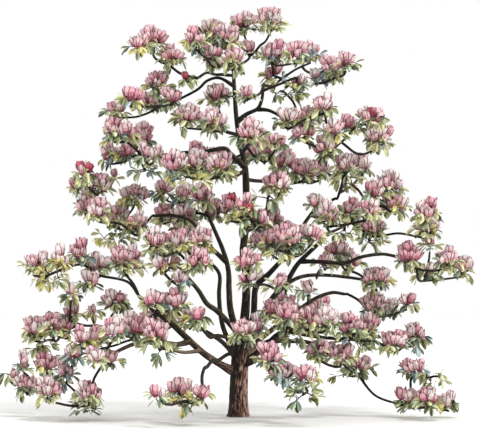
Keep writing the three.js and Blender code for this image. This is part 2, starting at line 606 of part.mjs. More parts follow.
function hasRoom(mass, points, gap, furthest) {
  return points.every((point) => {
    if (!isOwn(mass, point, furthest) || !isClearOf(limbBalls, point, gap)) return false;
    return masses.every((other) => other === mass || isClearOf(other.stemBalls, point, gap));
  });
}

const pointsBetween = (from, to, count) => {
  const points = [];
  for (let i = 1; i <= count; i += 1) points.push(from.clone().lerp(to, i / count));
  return points;
};

// ---- Blossoms, leaves and twigs -----------------------------------------------------------------------

// The profile of a blossom on its twig, from the fork to the floor of its mouth: how far along its own
// height and how wide each row is. The first three rows are the twig's.
const BLOSSOM_PROFILE = [
  [0, 0],
  [0, 0],
  [0, 0],
  [0.42, 1],
  [1, 0.72],
  [0.55, 0],
];
const RIM = 4;
const PETALS = 5;

// A goblet of petals on its three-sided twig, in one piece. Its rim rises and falls, and its mouth is
// open.
function blossomSolid(fork, foot, { direction, height: tall, width: wide }) {
  const ahead = foot.point.clone().sub(fork.point).normalize();
  const across = ahead.clone().cross(direction).normalize();
  const points = BLOSSOM_PROFILE.map(([height, width]) => new THREE.Vector2(width, height));
  const geometry = new THREE.LatheGeometry(points, PETALS);
  const position = geometry.attributes.position;
  const rows = points.length;
  for (let i = 0; i < position.count; i += 1) {
    const row = i % rows;
    const petal = Math.floor(i / rows) % PETALS;
    const onTwig = row < 3;
    const [height, width] = BLOSSOM_PROFILE[row];
    const centre = row < 2 ? fork.point.clone() : foot.point.clone();
    const dip = row === RIM && petal % 2 === 1 ? RIM_DIP : 0;
    centre.addScaledVector(direction, (height - dip) * tall);
    const radius = [0, fork.radius, foot.radius][row] ?? (width * wide) / 2;
    const corner = Math.round((petal * TWIG_SIDES) / PETALS) / TWIG_SIDES;
    const angle = 2 * Math.PI * (onTwig ? corner : petal / PETALS);
    const over = (row < 2 ? ahead : direction).clone().cross(across);
    centre.addScaledVector(across, radius * Math.cos(angle));
    centre.addScaledVector(over, radius * Math.sin(angle));
    position.setXYZ(i, centre.x, centre.y, centre.z);
  }
  return solidOf(welded(geometry));
}

// A leaf of four faces, widest beyond its middle: its edges stand above its rib by its thickness.
function leafSolid(place, direction, length, roll) {
  const geometry = welded(new THREE.TetrahedronGeometry(1));
  const position = geometry.attributes.position;
  for (let i = 0; i < position.count; i += 1) {
    const isRib = position.getZ(i) > 0;
    const isFar = position.getX(i) > 0;
    const edge = ((isFar ? 1 : -1) * LEAF_SHAPE * length) / 2;
    if (isRib) position.setXYZ(i, 0, 0, isFar ? length : 0);
    else position.setXYZ(i, edge, LEAF_THICKNESS, LEAF_WIDEST * length);
  }
  const level = new THREE.Vector3(-direction.y, direction.x, 0).normalize();
  const across = level.applyAxisAngle(direction, roll);
  const over = direction.clone().cross(across);
  geometry.applyMatrix4(new THREE.Matrix4().makeBasis(across, over, direction));
  geometry.translate(place.x, place.y, place.z);
  return solidOf(geometry);
}

// A growing mass: its solid pieces, and the straight stretches of stem and twig that new twigs fork from.
function startGrowth(mass, seed) {
  const growth = { mass, random: seeded(seed), pieces: [], stretches: [] };
  for (const stem of mass.stems) {
    const piece = limbSolid(stem, TWIG_SIDES);
    growth.pieces.push(piece);
    growth.stretches.push(...stretchesOf(stem, piece));
  }
  return growth;
}

// Every fork keeps off the ends of its stretch by another margin, so that no two forks coincide.
const marginFor = ({ random }) => FORK_MARGIN * (1 + random());

// A twig to a place, or nothing where it would leave the mass's space or touch a limb.
function twigTo(growth, place) {
  const { mass, stretches } = growth;
  const from = forkFor(stretches, place, marginFor(growth));
  if (from.point.distanceTo(place) < SHORTEST_TWIG) return null;
  const points = pointsBetween(from.point, place, 5).slice(1);
  if (!hasRoom(mass, points, LIMB_GAP, Infinity)) return null;
  return { from, to: { point: place, radius: TWIG_END_RADIUS } };
}

// Adds a piece that grows on a host, unless it would cross any other piece.
function addPiece(growth, piece, host) {
  const crossed = growth.pieces.some((other) => other !== host && other.intersect(piece).numTri() > 0);
  if (!crossed) growth.pieces.push(piece);
  return !crossed;
}

const directionOf = ({ from, to }) => to.point.clone().sub(from.point).normalize();

// A random direction whose height lies between two values, from -1 straight down to 1 straight up.
function directionBetween(lowest, highest, random) {
  const turn = 2 * Math.PI * random();
  const height = lowest + (highest - lowest) * random();
  const level = Math.sqrt(1 - height * height);
  return new THREE.Vector3(Math.cos(turn) * level, Math.sin(turn) * level, height);
}

// A blossom's size, place and lean in its pad: smaller and further from the middle with every try.
function blossomIn(pad, tried, random) {
  const size = 1 - (1 - SMALLEST_BLOSSOM) * tried;
  const turn = 2 * Math.PI * random();
  const lean = LEAN * random();
  const direction = new THREE.Vector3(lean * Math.cos(turn), lean * Math.sin(turn), 1).normalize();
  const shift = directionBetween(-1, 1, random).multiplyScalar(BLOSSOM_SHIFT * tried);
  shift.z += BLOSSOM_RISE;
  const middle = shift.multiply(pad.half).add(pad.centre);
  const height = size * BLOSSOM_TALL * pad.half.z;
  const width = size * BLOSSOM_WIDE * Math.min(pad.half.x, pad.half.z);
  return { middle, direction, height, width };
}

// The blossom of a pad, at the first place with room for it.
function addBlossom(growth, pad) {
  for (let tries = 0; tries < TRIES; tries += 1) {
    const blossom = blossomIn(pad, tries / TRIES, growth.random);
    const { middle, direction, height, width } = blossom;
    const foot = middle.clone().addScaledVector(direction, -0.5 * height);
    const rim = middle.clone().addScaledVector(direction, 0.5 * height);
    if (!hasRoom(growth.mass, [middle, rim], LIMB_GAP + BLOSSOM_GAP * width, BLOSSOM_LIMIT)) continue;
    if (!isClearOf(growth.mass.stemBalls, middle, OWN_GAP * width)) continue;
    const twig = twigTo(growth, foot);
    if (!twig || directionOf(twig).dot(direction) < STEEPEST_BEND) continue;
    twig.piece = blossomSolid(twig.from, twig.to, blossom);
    if (!addPiece(growth, twig.piece, twig.from.piece)) continue;
    growth.stretches.push(twig);
    return;
  }
}

// A twig towards a leaf's tip that is out of reach, so that the leaf can grow from its end.
function twigTowards(growth, fork, tip) {
  const outward = tip.clone().sub(fork.point);
  const end = tip.clone().addScaledVector(outward.normalize(), -TWIG_STOP);
  const twig = twigTo(growth, end);
  if (!twig) return null;
  twig.piece = limbSolid({ knots: [twig.from, twig.to] }, TWIG_SIDES);
  if (!addPiece(growth, twig.piece, twig.from.piece)) return null;
  growth.stretches.push(twig);
  return nearestOn(twig, tip, marginFor(growth));
}

// Leaves that reach for the skin of a pad's lower part, each from the nearest stem or twig.
function addLeaves(growth, pad, wanted) {
  const { mass, random } = growth;
  for (let made = 0, tries = 0; made < wanted && tries < TRIES * wanted; tries += 1) {
    const unit = directionBetween(-1, LEAF_TOP, random);
    const out = LEAF_SKIN + (1 - LEAF_SKIN) * random();
    const tip = unit.multiplyScalar(out).multiply(pad.half).add(pad.centre);
    let fork = forkFor(growth.stretches, tip, marginFor(growth));
    if (fork.point.distanceTo(tip) > LONGEST_LEAF) fork = twigTowards(growth, fork, tip);
    if (!fork) continue;
    const length = fork.point.distanceTo(tip);
    if (length < SHORTEST_LEAF || length > LONGEST_LEAF) continue;
    if (!hasRoom(mass, pointsBetween(fork.point, tip, 4), LEAF_GAP, LEAF_LIMIT)) continue;
    const direction = tip.clone().sub(fork.point).normalize();
    const leaf = leafSolid(fork.point, direction, length, LEAF_ROLL * (random() - 0.5));
    if (addPiece(growth, leaf, fork.piece)) made += 1;
  }
}

function grownSolid(mass, seed) {
  const growth = startGrowth(mass, seed);
  for (const pad of mass.pads) {
    const front = Math.PI * pad.half.x * pad.half.z;
    if (pad.blooms) addBlossom(growth, pad);
    addLeaves(growth, pad, Math.round(front / (pad.blooms ? LEAF_ROOM : LEAF_PAD_ROOM)));
  }
  const joined = wasm.Manifold.union(growth.pieces).simplify(JOIN_SLIVER);
  return largestBody(joined.subtract(grownSolids.get(mass.carrier)).simplify(CUT_SLIVER));
}

// Every edge of a sound solid joins just two faces, and all its vertices lie apart.
function isSound(solid) {
  const corners = welded(geometryOf(solid), PINCH).index.array;
  const uses = new Map();
  corners.forEach((corner, i) => {
    const next = corners[i % 3 === 2 ? i - 2 : i + 1];
    const edge = corner < next ? `${corner} ${next}` : `${next} ${corner}`;
    uses.set(edge, (uses.get(edge) ?? 0) + 1);
  });
  return [...uses.values()].every((count) => count === 2) && new Set(corners).size === solid.numVert();
}

// A mass is grown anew, from the next seed, for as long as its solid isn't sound.
function massSolid(mass) {
  let solid = grownSolid(mass, mass.seed);
  for (let again = 1; again < MOST_GROWTHS && !isSound(solid); again += 1) {
    solid = grownSolid(mass, mass.seed + again);
  }
  return solid;
}

for (const mass of masses) solids.set("mass_" + mass.name, massSolid(mass));

// ---- Scene graph --------------------------------------------------------------------------------------

const tree = new THREE.Group();
for (const [name, solid] of solids) {
  const mesh = new THREE.Mesh(geometryOf(solid), name.startsWith("mass_") ? BLOSSOM : BARK);
  mesh.name = name;
  tree.add(mesh);
}

export default tree;
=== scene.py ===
"""A saucer magnolia 6 m tall, in full blossom with its young leaves.

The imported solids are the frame. Bark with its relief replaces the trunk and boughs. Each mass is grown again
by the rule of the solids, carried to finer twigs: a stem runs low through the pads that the mass fills,
blossoms stand on twigs above it, and sprays of leaves hang below. The tree's plan is in centimetres, the
rest is in metres, with +Z up, +X to the right and -Y to the front.
"""
import math

import bpy
import numpy as np
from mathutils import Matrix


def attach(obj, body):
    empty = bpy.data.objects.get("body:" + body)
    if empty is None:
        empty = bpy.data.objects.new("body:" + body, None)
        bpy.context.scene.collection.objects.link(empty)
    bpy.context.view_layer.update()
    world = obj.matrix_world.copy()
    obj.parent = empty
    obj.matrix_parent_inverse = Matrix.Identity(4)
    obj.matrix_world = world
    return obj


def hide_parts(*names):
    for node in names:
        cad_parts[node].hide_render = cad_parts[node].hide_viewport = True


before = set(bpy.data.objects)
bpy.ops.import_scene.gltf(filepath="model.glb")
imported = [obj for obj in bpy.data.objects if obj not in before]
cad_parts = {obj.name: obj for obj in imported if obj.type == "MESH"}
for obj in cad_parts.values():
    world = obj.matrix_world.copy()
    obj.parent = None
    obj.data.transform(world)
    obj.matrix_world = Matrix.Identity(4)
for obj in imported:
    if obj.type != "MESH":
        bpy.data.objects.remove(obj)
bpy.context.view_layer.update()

MM = 0.001
SEED = 101
BOUGH_SEED = 10
BLOSSOM_SEED = 500
LEAF_SEED = 900

# ---- The tree's plan ----

# Centre line of the trunk from the ground to its tip: [x, y, z, radius].
TRUNK = [
    [0, 0, 0, 16.8], [0, 0, 7, 14.9], [0, 0, 23, 13.7], [1, 0, 67, 13.1], [4, 0, 96, 12.6],
    [6, 0, 114, 9.3], [8, 0, 133, 7], [11, 2, 169, 6.1], [11, 2, 206, 5.7], [7, 0, 242, 5.4],
    [11, -2, 283, 5.3], [11, 0, 337, 5], [8, 0, 374, 4.4], [-1, 0, 418, 3.6], [-5, 0, 461, 3.1],
    [-7.5, 0, 505, 2.7],
]

# Boughs: name, carrier, distance of the foot along the carrier, knees and tip, radius at foot and at tip.
BOUGHS = [
    ["low_left", "trunk", 61, [[-34, -10, 81], [-56, -18, 97], [-96, -30, 135], [-120, -36, 154],
     [-137, -40, 170]], 5.7, 3.6],
    ["low_left_outer", "low_left", 89, [[-90, -36, 106], [-126, -55, 112], [-149, -68, 107],
     [-171, -76, 97], [-182, -80, 88]], 3.8, 2.5],
    ["left_shelf", "low_left", 151, [[-143, -10, 137], [-171, 15, 131], [-196, 30, 126]], 2.9, 2.2],
    ["left_front", "low_left", 69, [[-75, -55, 95], [-93, -100, 100], [-109, -130, 106]], 2.9, 2.2],
    ["left_heart", "trunk", 114, [[-28, -25, 151], [-45, -42, 164], [-56, -65, 182], [-68, -85, 197],
     [-79, -100, 209]], 4.2, 2.6],
    ["back_left", "trunk", 83, [[-17, 16, 115], [-26, 32, 144], [-29, 55, 177], [-29, 85, 208],
     [-45, 110, 228]], 4.2, 2.5],
    ["left_upright", "trunk", 105, [[-10, 6, 147], [-14, 14, 184], [-15, 20, 213], [-23, 32, 243],
     [-43, 60, 290]], 5.3, 2.8],
    ["left_crossing", "left_upright", 126, [[-41, 28, 247], [-57, 32, 271], [-73, 36, 288], [-99, 42, 295],
     [-123, 46, 294]], 3.4, 2.2],
    ["upper_left", "trunk", 365, [[-11, -8, 382], [-21, -12, 390], [-47, -10, 386], [-74, -4, 385],
     [-100, 2, 383]], 3.8, 2.2],
    ["top_left", "trunk", 485, [[-28, 4, 495], [-46, 5, 491], [-61, 8, 478], [-93, 15, 462]], 2.5, 1.8],
    ["top_right", "trunk", 432, [[12, -2, 441], [28, -4, 449], [34, -4, 462], [36, -4, 478]], 3.2, 2.3],
    ["upper_right", "top_right", 35, [[43, -10, 446], [56, -20, 439], [69, -30, 429]], 2.6, 2],
    ["right_upright", "trunk", 104, [[21, -8, 143], [25, -18, 187], [41, -35, 204],
     [54, -50, 218]], 5.2, 3.4],
    ["right_rising", "right_upright", 104, [[61, 10, 225], [85, 35, 261], [103, 50, 290], [122, 55, 312],
     [142, 50, 319]], 3.4, 2.2],
    ["right_middle", "trunk", 94, [[34, 10, 143], [49, 14, 171], [71, 16, 197], [87, 12, 222],
     [110, 6, 245], [129, 2, 263]], 5.1, 2.6],
    ["right_long", "right_middle", 101, [[78, 30, 197], [100, 38, 205], [131, 46, 206], [162, 52, 203],
     [183, 56, 200]], 3.1, 2.2],
    ["right_far", "right_middle", 160, [[121, -10, 225], [153, -16, 223], [179, -18, 232], [208, -16, 236],
     [232, -14, 232]], 3.1, 2.2],
    ["right_arch", "trunk", 88, [[41, 26, 119], [68, 46, 139], [92, 66, 156], [117, 82, 172],
     [141, 92, 180], [160, 96, 178]], 4.2, 2.3],
    ["low_right", "trunk", 70, [[30, -12, 95], [46, -22, 110], [61, -36, 122], [95, -62, 131]], 5, 3.2],
    ["low_right_outer", "low_right", 66, [[72, -10, 110], [101, -12, 108], [121, -20, 98],
     [137, -24, 87]], 3.5, 2.8],
    ["back_low_left", "trunk", 76, [[-19, 50, 102], [-40, 100, 116], [-66, 145, 130]], 4.1, 2.6],
    ["back_low_right", "trunk", 79, [[29, 50, 101], [57, 100, 111], [89, 145, 123]], 4.1, 2.6],
]

# Masses: name, carrier, distance of the stem's foot along the carrier and knees of the stem, unless it grows
# on from the carrier's tip, and the pads that the mass fills. A pad is an ellipsoid: [x, y, z, half width,
# half height].
MASSES = [
    ["left_far", "low_left",
     [[-160, -63, 228, 26, 24], [-207, 30, 224, 19, 19], [-234, 8, 241, 18, 21], [-254, -63, 231, 14, 20],
      [-295, 35, 225, 22, 19], [-278, -38, 203, 29, 14], [-216, 10, 200, 18, 15]]],
    ["low_left", "low_left_outer",
     [[-207, -115, 43, 20, 18], [-214, -73, 19, 24, 14], [-245, -68, 69, 16, 18], [-280, 15, 78, 19, 18],
      [-267, -100, 46, 21, 18], [-305, -18, 51, 19, 19], [-309, -38, 82, 12, 16], [-333, 5, 65, 13, 15],
      [-234, -80, 96, 16, 13]]],
    ["left_shelf", "left_shelf",
     [[-181, 12, 171, 22, 19], [-220, 75, 157, 12, 12], [-247, 38, 154, 16, 16], [-244, -3, 182, 13, 16],
      [-255, 45, 129, 15, 18], [-274, 2, 136, 18, 19], [-305, 55, 130, 18, 19], [-290, 28, 107, 25, 15]]],
    ["left_front", "left_front",
     [[-114, -165, 125, 21, 21], [-146, -118, 135, 20, 21], [-109, -123, 100, 24, 13],
      [-172, -160, 133, 16, 21], [-200, -83, 119, 17, 20], [-217, -128, 120, 15, 18],
      [-195, -165, 95, 15, 14], [-179, -115, 91, 14, 14]]],
    ["hanging_left", "trunk", 86, [[-29, -40, 83], [-44, -100, 76], [-50, -150, 64]],
     [[-51, -195, 47, 15, 16], [-79, -158, 51, 19, 16], [-74, -193, 34, 27, 11], [-106, -225, 49, 13, 15]]],
    ["inner_left", "trunk", 102, [[-30, -50, 119], [-48, -100, 126], [-57, -130, 134]],
     [[-54, -165, 151, 15, 15], [-89, -138, 171, 22, 19], [-119, -158, 173, 15, 16]]],
    ["left_heart", "left_heart",
     [[-56, -145, 228, 19, 19], [-54, -108, 257, 20, 21], [-86, -123, 255, 18, 19],
      [-113, -160, 252, 16, 19], [-104, -118, 223, 22, 17], [-82, -138, 200, 17, 12]]],
    ["back_left", "back_left",
     [[-60, 108, 257, 21, 21], [-85, 186, 286, 23, 20], [-111, 170, 253, 25, 23]]],
    ["left_middle", "left_upright",
     [[-53, 50, 328, 19, 18], [-40, 115, 308, 17, 18], [-82, 90, 332, 18, 17], [-82, 80, 303, 21, 18],
      [-115, 110, 339, 17, 17], [-114, 100, 301, 18, 18]]],
    ["left_outer", "left_crossing",
     [[-150, 12, 284, 19, 21], [-183, 100, 299, 20, 23], [-181, 54, 266, 30, 13], [-202, -8, 302, 19, 20],
      [-228, 80, 315, 18, 23], [-209, 32, 342, 21, 19], [-157, 94, 331, 23, 17], [-188, 54, 358, 12, 15],
      [-227, -3, 360, 16, 17], [-244, 75, 345, 12, 12]]],
    ["upper_left_inner", "trunk", 359, [[-6, -25, 348], [-16, -50, 346], [-23, -70, 348]],
     [[-27, -100, 361, 21, 20], [-58, -63, 368, 20, 20], [-91, -88, 363, 21, 21],
      [-64, -130, 339, 25, 12]]],
    ["upper_left", "upper_left",
     [[-127, -23, 385, 20, 20], [-144, 35, 416, 19, 19], [-167, 13, 391, 16, 19], [-162, -28, 414, 14, 17],
      [-189, 25, 387, 16, 18], [-185, -23, 418, 16, 19], [-141, 60, 365, 19, 12]]],
    ["upper_left_front", "trunk", 412, [[-16, -20, 413], [-27, -35, 415]],
     [[-36, -60, 429, 21, 19], [-75, -18, 438, 22, 20], [-31, -18, 470, 22, 17]]],
    ["top_left", "top_left",
     [[-99, -18, 468, 17, 16], [-131, 65, 467, 18, 16], [-120, 28, 495, 21, 18], [-155, -33, 465, 19, 17],
      [-181, 50, 456, 18, 16]]],
    ["tip_left", "trunk", 501, [[-24, -5, 499], [-47, -10, 501]],
     [[-73, -30, 497, 13, 12], [-101, 15, 531, 19, 18], [-128, -5, 554, 22, 19], [-145, -35, 541, 17, 14]]],
    ["crown_top", "trunk",
     [[-9, -40, 520, 20, 20], [16, 30, 543, 13, 16], [-38, -31, 527, 20, 20], [-17, -29, 553, 19, 22],
      [-40, 10, 569, 18, 19], [-62, -50, 546, 17, 17], [7, 56, 587, 21, 18], [48, 10, 584, 22, 19]]],
    ["top_right", "top_right",
     [[12, -50, 470, 14, 14], [54, 25, 504, 18, 16], [49, 5, 535, 20, 19], [82, -55, 527, 17, 19],
      [107, 30, 538, 16, 18], [86, -20, 488, 14, 14], [114, 45, 506, 16, 16], [138, 5, 512, 19, 19],
      [155, -30, 517, 16, 14]]],
    ["upper_right", "upper_right",
     [[73, -65, 432, 19, 19], [103, -5, 439, 19, 17], [67, -20, 471, 29, 12], [121, -75, 450, 16, 17],
      [95, -5, 416, 20, 16], [135, -80, 414, 18, 17], [127, 5, 396, 19, 19], [164, -20, 427, 16, 13],
      [190, -45, 435, 22, 17], [207, 10, 411, 22, 19]]],
    ["front_upper", "trunk", 388, [[11, -30, 389], [16, -60, 393]],
     [[17, -110, 406, 21, 20], [38, -43, 385, 19, 20], [53, -68, 399, 14, 17]]],
    ["right_upper_inner", "trunk", 347, [[38, 40, 345]],
     [[96, 43, 365, 21, 21], [71, 116, 382, 20, 21], [121, 85, 368, 18, 20]]],
    ["front_middle", "trunk", 324, [[17, -30, 302], [16, -70, 288]],
     [[12, -120, 302, 17, 18], [-11, -83, 304, 17, 21], [26, -103, 285, 20, 17], [-1, -125, 278, 17, 11],
      [58, -48, 339, 21, 20], [42, -83, 315, 17, 11]]],
    ["right_inner", "right_upright",
     [[72, -119, 256, 19, 21], [46, -83, 257, 18, 24], [102, -89, 264, 18, 18], [63, -131, 237, 22, 10]]],
    ["right_shoulder", "right_rising",
     [[156, 12, 370, 18, 19], [188, 95, 376, 17, 17], [162, 38, 350, 21, 13], [197, -13, 328, 16, 20],
      [227, 55, 344, 21, 21], [224, -13, 310, 22, 16]]],
    ["right_middle", "right_middle",
     [[131, -43, 294, 19, 20], [165, 40, 304, 19, 21], [113, 8, 314, 15, 16], [187, -63, 301, 17, 17],
      [198, 20, 278, 21, 16], [152, -53, 270, 20, 11], [194, 30, 256, 22, 13], [273, 3, 276, 23, 16],
      [270, -58, 299, 20, 21]]],
    ["right_far", "right_far",
     [[245, -38, 236, 19, 19], [278, 25, 213, 19, 16], [280, 8, 253, 10, 15], [298, -53, 231, 20, 19],
      [334, 35, 221, 16, 18]]],
    ["right_long", "right_long",
     [[205, 40, 203, 22, 21], [169, 105, 230, 18, 17], [150, 80, 246, 18, 20], [127, 45, 229, 15, 15]]],
    ["right_arch", "right_arch",
     [[201, 75, 165, 21, 20], [233, 140, 160, 18, 15], [255, 100, 169, 17, 15]]],
    ["low_right_inner", "low_right",
     [[67, -135, 149, 19, 19], [48, -63, 161, 17, 17], [97, -113, 146, 20, 20], [124, -125, 146, 18, 19],
      [87, -78, 124, 34, 11], [98, -88, 188, 14, 11]]],
    ["low_right_outer", "low_right", 99, [],
     [[157, -75, 134, 20, 21], [188, 0, 133, 20, 22], [170, -50, 111, 24, 13], [221, -50, 114, 20, 20],
      [254, 5, 120, 19, 20]]],
    ["low_right_tip", "low_right_outer",
     [[144, -64, 94, 21, 20], [175, -7, 77, 19, 19], [244, -34, 32, 20, 16], [267, -87, 34, 18, 16],
      [303, -27, 26, 15, 17], [112, -80, 103, 17, 18], [162, 7, 59, 23, 13], [254, -32, 75, 20, 16],
      [278, -59, 61, 21, 13], [260, -14, 16, 29, 10]]],
    ["hanging_right", "trunk", 73, [[26, -40, 83], [38, -100, 80], [42, -140, 79]],
     [[43, -185, 97, 19, 18], [62, -133, 72, 21, 17], [90, -178, 69, 18, 20], [87, -210, 44, 24, 13]]],
    ["front_low", "trunk", 105, [[11, -50, 106], [10, -110, 112]],
     [[6, -175, 131, 18, 19], [29, -108, 138, 14, 17]]],
    ["front_heart", "trunk", 184, [[16, -50, 190], [15, -120, 196]],
     [[14, -205, 225, 17, 17], [16, -143, 203, 17, 15], [53, -163, 196, 18, 14]]],
    ["back_low_left", "back_low_left",
     [[-75, 138, 141, 22, 18], [-109, 226, 164, 25, 22], [-131, 190, 137, 24, 20]]],
    ["back_low_right", "back_low_right",
     [[90, 148, 143, 23, 22], [128, 226, 157, 22, 19], [70, 210, 164, 22, 21]]],
    ["back_middle", "trunk", 269, [[35, 50, 270], [44, 110, 270]],
     [[51, 108, 295, 23, 21], [76, 191, 275, 24, 22], [38, 155, 265, 22, 19]]],
    ["back_upper", "trunk", 374, [[-6, 40, 376], [-15, 80, 378]],
     [[-32, 78, 380, 23, 21], [-59, 121, 395, 20, 18], [27, 100, 413, 21, 20], [11, 83, 392, 17, 17]]],
]

# ---- Sizes ----

TRUNK_SIDES = 88
BOUGH_SIDES = 32
STEM_SIDES = 12
TWIG_SIDES = 4
LIMB_STEP = 0.016  # length between two rings of a limb
STEM_STEP = 0.04
FLARE_LOBES = 5
FLARE_DEPTH = 0.1
FLARE_TOP = 0.26
COLLAR_SWELL = 0.3  # a bough is this much thicker where it leaves its carrier
COLLAR_LENGTH = 0.11
PLATE_DEPTH = 0.055  # depth of the bark's plates, over the limb's radius

TRUNK_STEM_RADIUS = 0.03
STEM_SHARE = 0.9  # radius of a stem's foot over that of its bough's tip
STEM_END_RADIUS = 0.018
SIDE_STEM_RADII = (0.021, 0.015)
STEM_SWAY = 0.07  # how far a stem sways between two pads, over their distance
STEM_LEAD = 3  # how far it runs straight on from a bough's tip, over its radius
STRETCH_POINTS = 3  # a twig can fork off between each so many points of a stem
STEM_DROP = 0.95  # how low a stem runs through a pad that blooms, over the pad's half height
SHARPEST_BEND = -0.2  # cosine of the sharpest bend of a stem at a pad
STEEP = 0.8  # rise over run of a stem between two pads from which it swings behind the blossoms
SWING = 0.9  # and how far it swings, over the pad's half width
STEM_REACH = 0.6  # how far its end goes towards the far side of a pad of leaves
STEM_RISE = 0.1
STEM_KNOTS = (0.07, 5, 0.08)  # length of its knots, how many stand round it, and their height
TWIG_SHARE = 0.62  # radius of a twig's foot over that of its host
TWIG_FOOT_RADIUS = 0.0105  # at most
TWIG_END_RADIUS = 0.0058
TWIG_RINGS = 6
OFF_TWIGS = [0.31, 0.22, 0.92]  # a direction off the twigs', to lay out their sides
TWIG_SLANT = 0.6  # how much it leans along its host where it leaves it
LEAVING_REACH = 0.35  # reach of the bend at its foot, over its length
ARRIVING_REACH = 0.4  # and of the bend at its end
SHORTEST_TWIG = 0.04
FORK_MARGIN = 0.08
FALL_COST = 0.8  # how much a twig that has to come down is put off

LEAF_PAD = 1.45  # a pad flatter than this, in half width over half height, holds leaves alone
DEPTH_SHARE = 0.85  # a pad's half depth over its half width
FLATTEST = 1.5
SPLIT = 0.03  # share of a pad's size kept free along the border to the next mass
LIMB_GAP = 0.012
STEM_GAP = 0.045  # from a blossom's middle to the stems of its own mass

BLOSSOM_HEIGHT = 0.178
BLOSSOM_ROOM = 0.0128  # m2 of a pad's front for one blossom
FEWEST_BLOSSOMS = 3
BLOSSOM_TRIES = 40  # places tried for each blossom
BLOSSOM_SPACING = 0.09
BLOSSOM_GAP = 0.4  # from its middle to other limbs, over its height
SIDE_MARGIN = 0.06  # from its middle to the skin of its pad
TOP_MARGIN = 0.45  # and at the pad's top and bottom, over its height
LOWEST_BLOSSOM = -0.4
INNER_BLOSSOM = 0.35
LEAN_SPREAD = 0.045
FAN_DEPTH = 0.13  # how far under a pad's hub the point lies that its blossoms lean away from

# Sprays: m2 of a pad's front for one, and the highest direction in which it stands from the pad's centre.
FRINGE = (0.0125, -0.25)  # below blossoms
FOLIAGE = (0.01, 0.7)  # in a pad of leaves alone
FEWEST_SPRAYS = 3
SPRAY_TRIES = 20
SPRAY_OUT = (0.5, 0.95)  # how far a spray stands from the pad's centre, over the pad's size
SPRAY_SPACING = 0.06
SPRAY_LEVEL = [1, 1, 0.5]  # sprays point out flatter than the pad's skin
SPRAY_SPREAD = 0.15
PIECE_TRIANGLES = 190000  # at most

# ---- Small helpers ----

UP = np.array([0.0, 0.0, 1.0])


def metres(sizes):
    """Sizes of the tree's plan, which are whole millimetres, in metres."""
    return np.round(np.multiply(sizes, 10)) * MM


def unit(vectors):
    lengths = np.linalg.norm(vectors, axis=-1, keepdims=True)
    return vectors / np.maximum(lengths, 1e-9)


def smooth(share):
    return share * share * (3 - 2 * share)


def turned(first, second, angles):
    """The directions at some angles from the first ones towards the second ones."""
    return first * np.cos(angles)[..., None] + second * np.sin(angles)[..., None]


def sums_from_zero(steps):
    return np.insert(np.cumsum(steps, axis=-1), 0, 0, axis=-1)


def distances_along(lines):
    """How far along its line each point lies."""
    return sums_from_zero(np.linalg.norm(np.diff(lines, axis=-2), axis=-1))


def distances_between(points, others):
    """How far each point lies from each of the others."""
    return np.linalg.norm(points[:, None] - others, axis=2)


def spline(points, places):
    """Points on a smooth line through the given ones, at places from 0 at the first to 1 at the last."""
    held = np.vstack([2 * points[0] - points[1], points, 2 * points[-1] - points[-2]])
    at = np.clip(places, 0, 1) * (len(points) - 1)
    i = np.minimum(at.astype(int), len(points) - 2)
    t = (at - i)[:, None]
    before, start, end, after = (held[i + k] for k in range(4))
    leaving = (end - before) / 2
    arriving = (after - start) / 2
    rise = smooth(t)
    return start * (1 - rise) + end * rise + t * (1 - t) * (leaving * (1 - t) - arriving * t)


def wavy(seed, around, along, cells):
    """Smooth noise from -1 to 1 on a tube: so many bumps round it, and one bump per unit along it."""
    grid = np.random.default_rng(seed).uniform(-1, 1, (cells, int(along.max()) + 3))
    x = around * cells
    i, j = np.floor(x).astype(int), np.floor(along).astype(int)
    fx, fy = smooth(x - i), smooth(along - j)
    near = grid[i % cells, j] * (1 - fx) + grid[(i + 1) % cells, j] * fx
    far = grid[i % cells, j + 1] * (1 - fx) + grid[(i + 1) % cells, j + 1] * fx
    return near * (1 - fy) + far * fy


# ---- Limbs ----


class Limb:
    """A smooth line of points with a radius at each, and the distance of each along the limb."""

    def __init__(self, points, radii):
        self.points = points
        self.radii = radii
        self.along = distances_along(points)

    def at(self, distance):
        place = min(distance, self.along[-1])
        point = np.array([np.interp(place, self.along, self.points[:, k]) for k in range(3)])
        return point, float(np.interp(place, self.along, self.radii))


def limb_through(points, radii, step):
    points = np.array(points)
    length = distances_along(points)[-1]
    places = np.linspace(0, 1, max(len(points), int(length / step)) + 1)
    knots = np.linspace(0, 1, len(radii))
    return Limb(spline(points, places), np.interp(places, knots, radii))


def grown_limbs():
    """The trunk and boughs by name, as their solids run."""
    rows = metres(TRUNK)
    limbs = {"trunk": limb_through(rows[:, :3], rows[:, 3], LIMB_STEP)}
    for name, carrier, foot_at, way, *radii in BOUGHS:
        foot, _ = limbs[carrier].at(metres(foot_at))
        limbs[name] = limb_through([foot, *metres(way)], metres(radii), LIMB_STEP)
    return limbs


def ring_frames(points):
    """Two directions across the line at each of its points, turning on without a twist."""
    ahead = unit(np.gradient(points, axis=0))
    side = np.array([0.0, 1.0, 0.0]) if abs(ahead[0][1]) < 0.8 else np.array([1.0, 0.0, 0.0])
    across = np.empty_like(points)
    for i, direction in enumerate(ahead):
        side = unit(side - side.dot(direction) * direction)
        across[i] = side
    return across, np.cross(ahead, across)


def rings_round(points, frames, radii, around):
    """Rings round one line or many, in the plane of two directions at each point. The radii may differ from
    ring to ring and round each ring."""
    across, over = (directions[..., None, :] for directions in frames)
    outward = turned(across, over, 2 * np.pi * around)
    return points[..., None, :] + outward * radii[..., None]


# ---- Pads, stems and the space of each mass ----


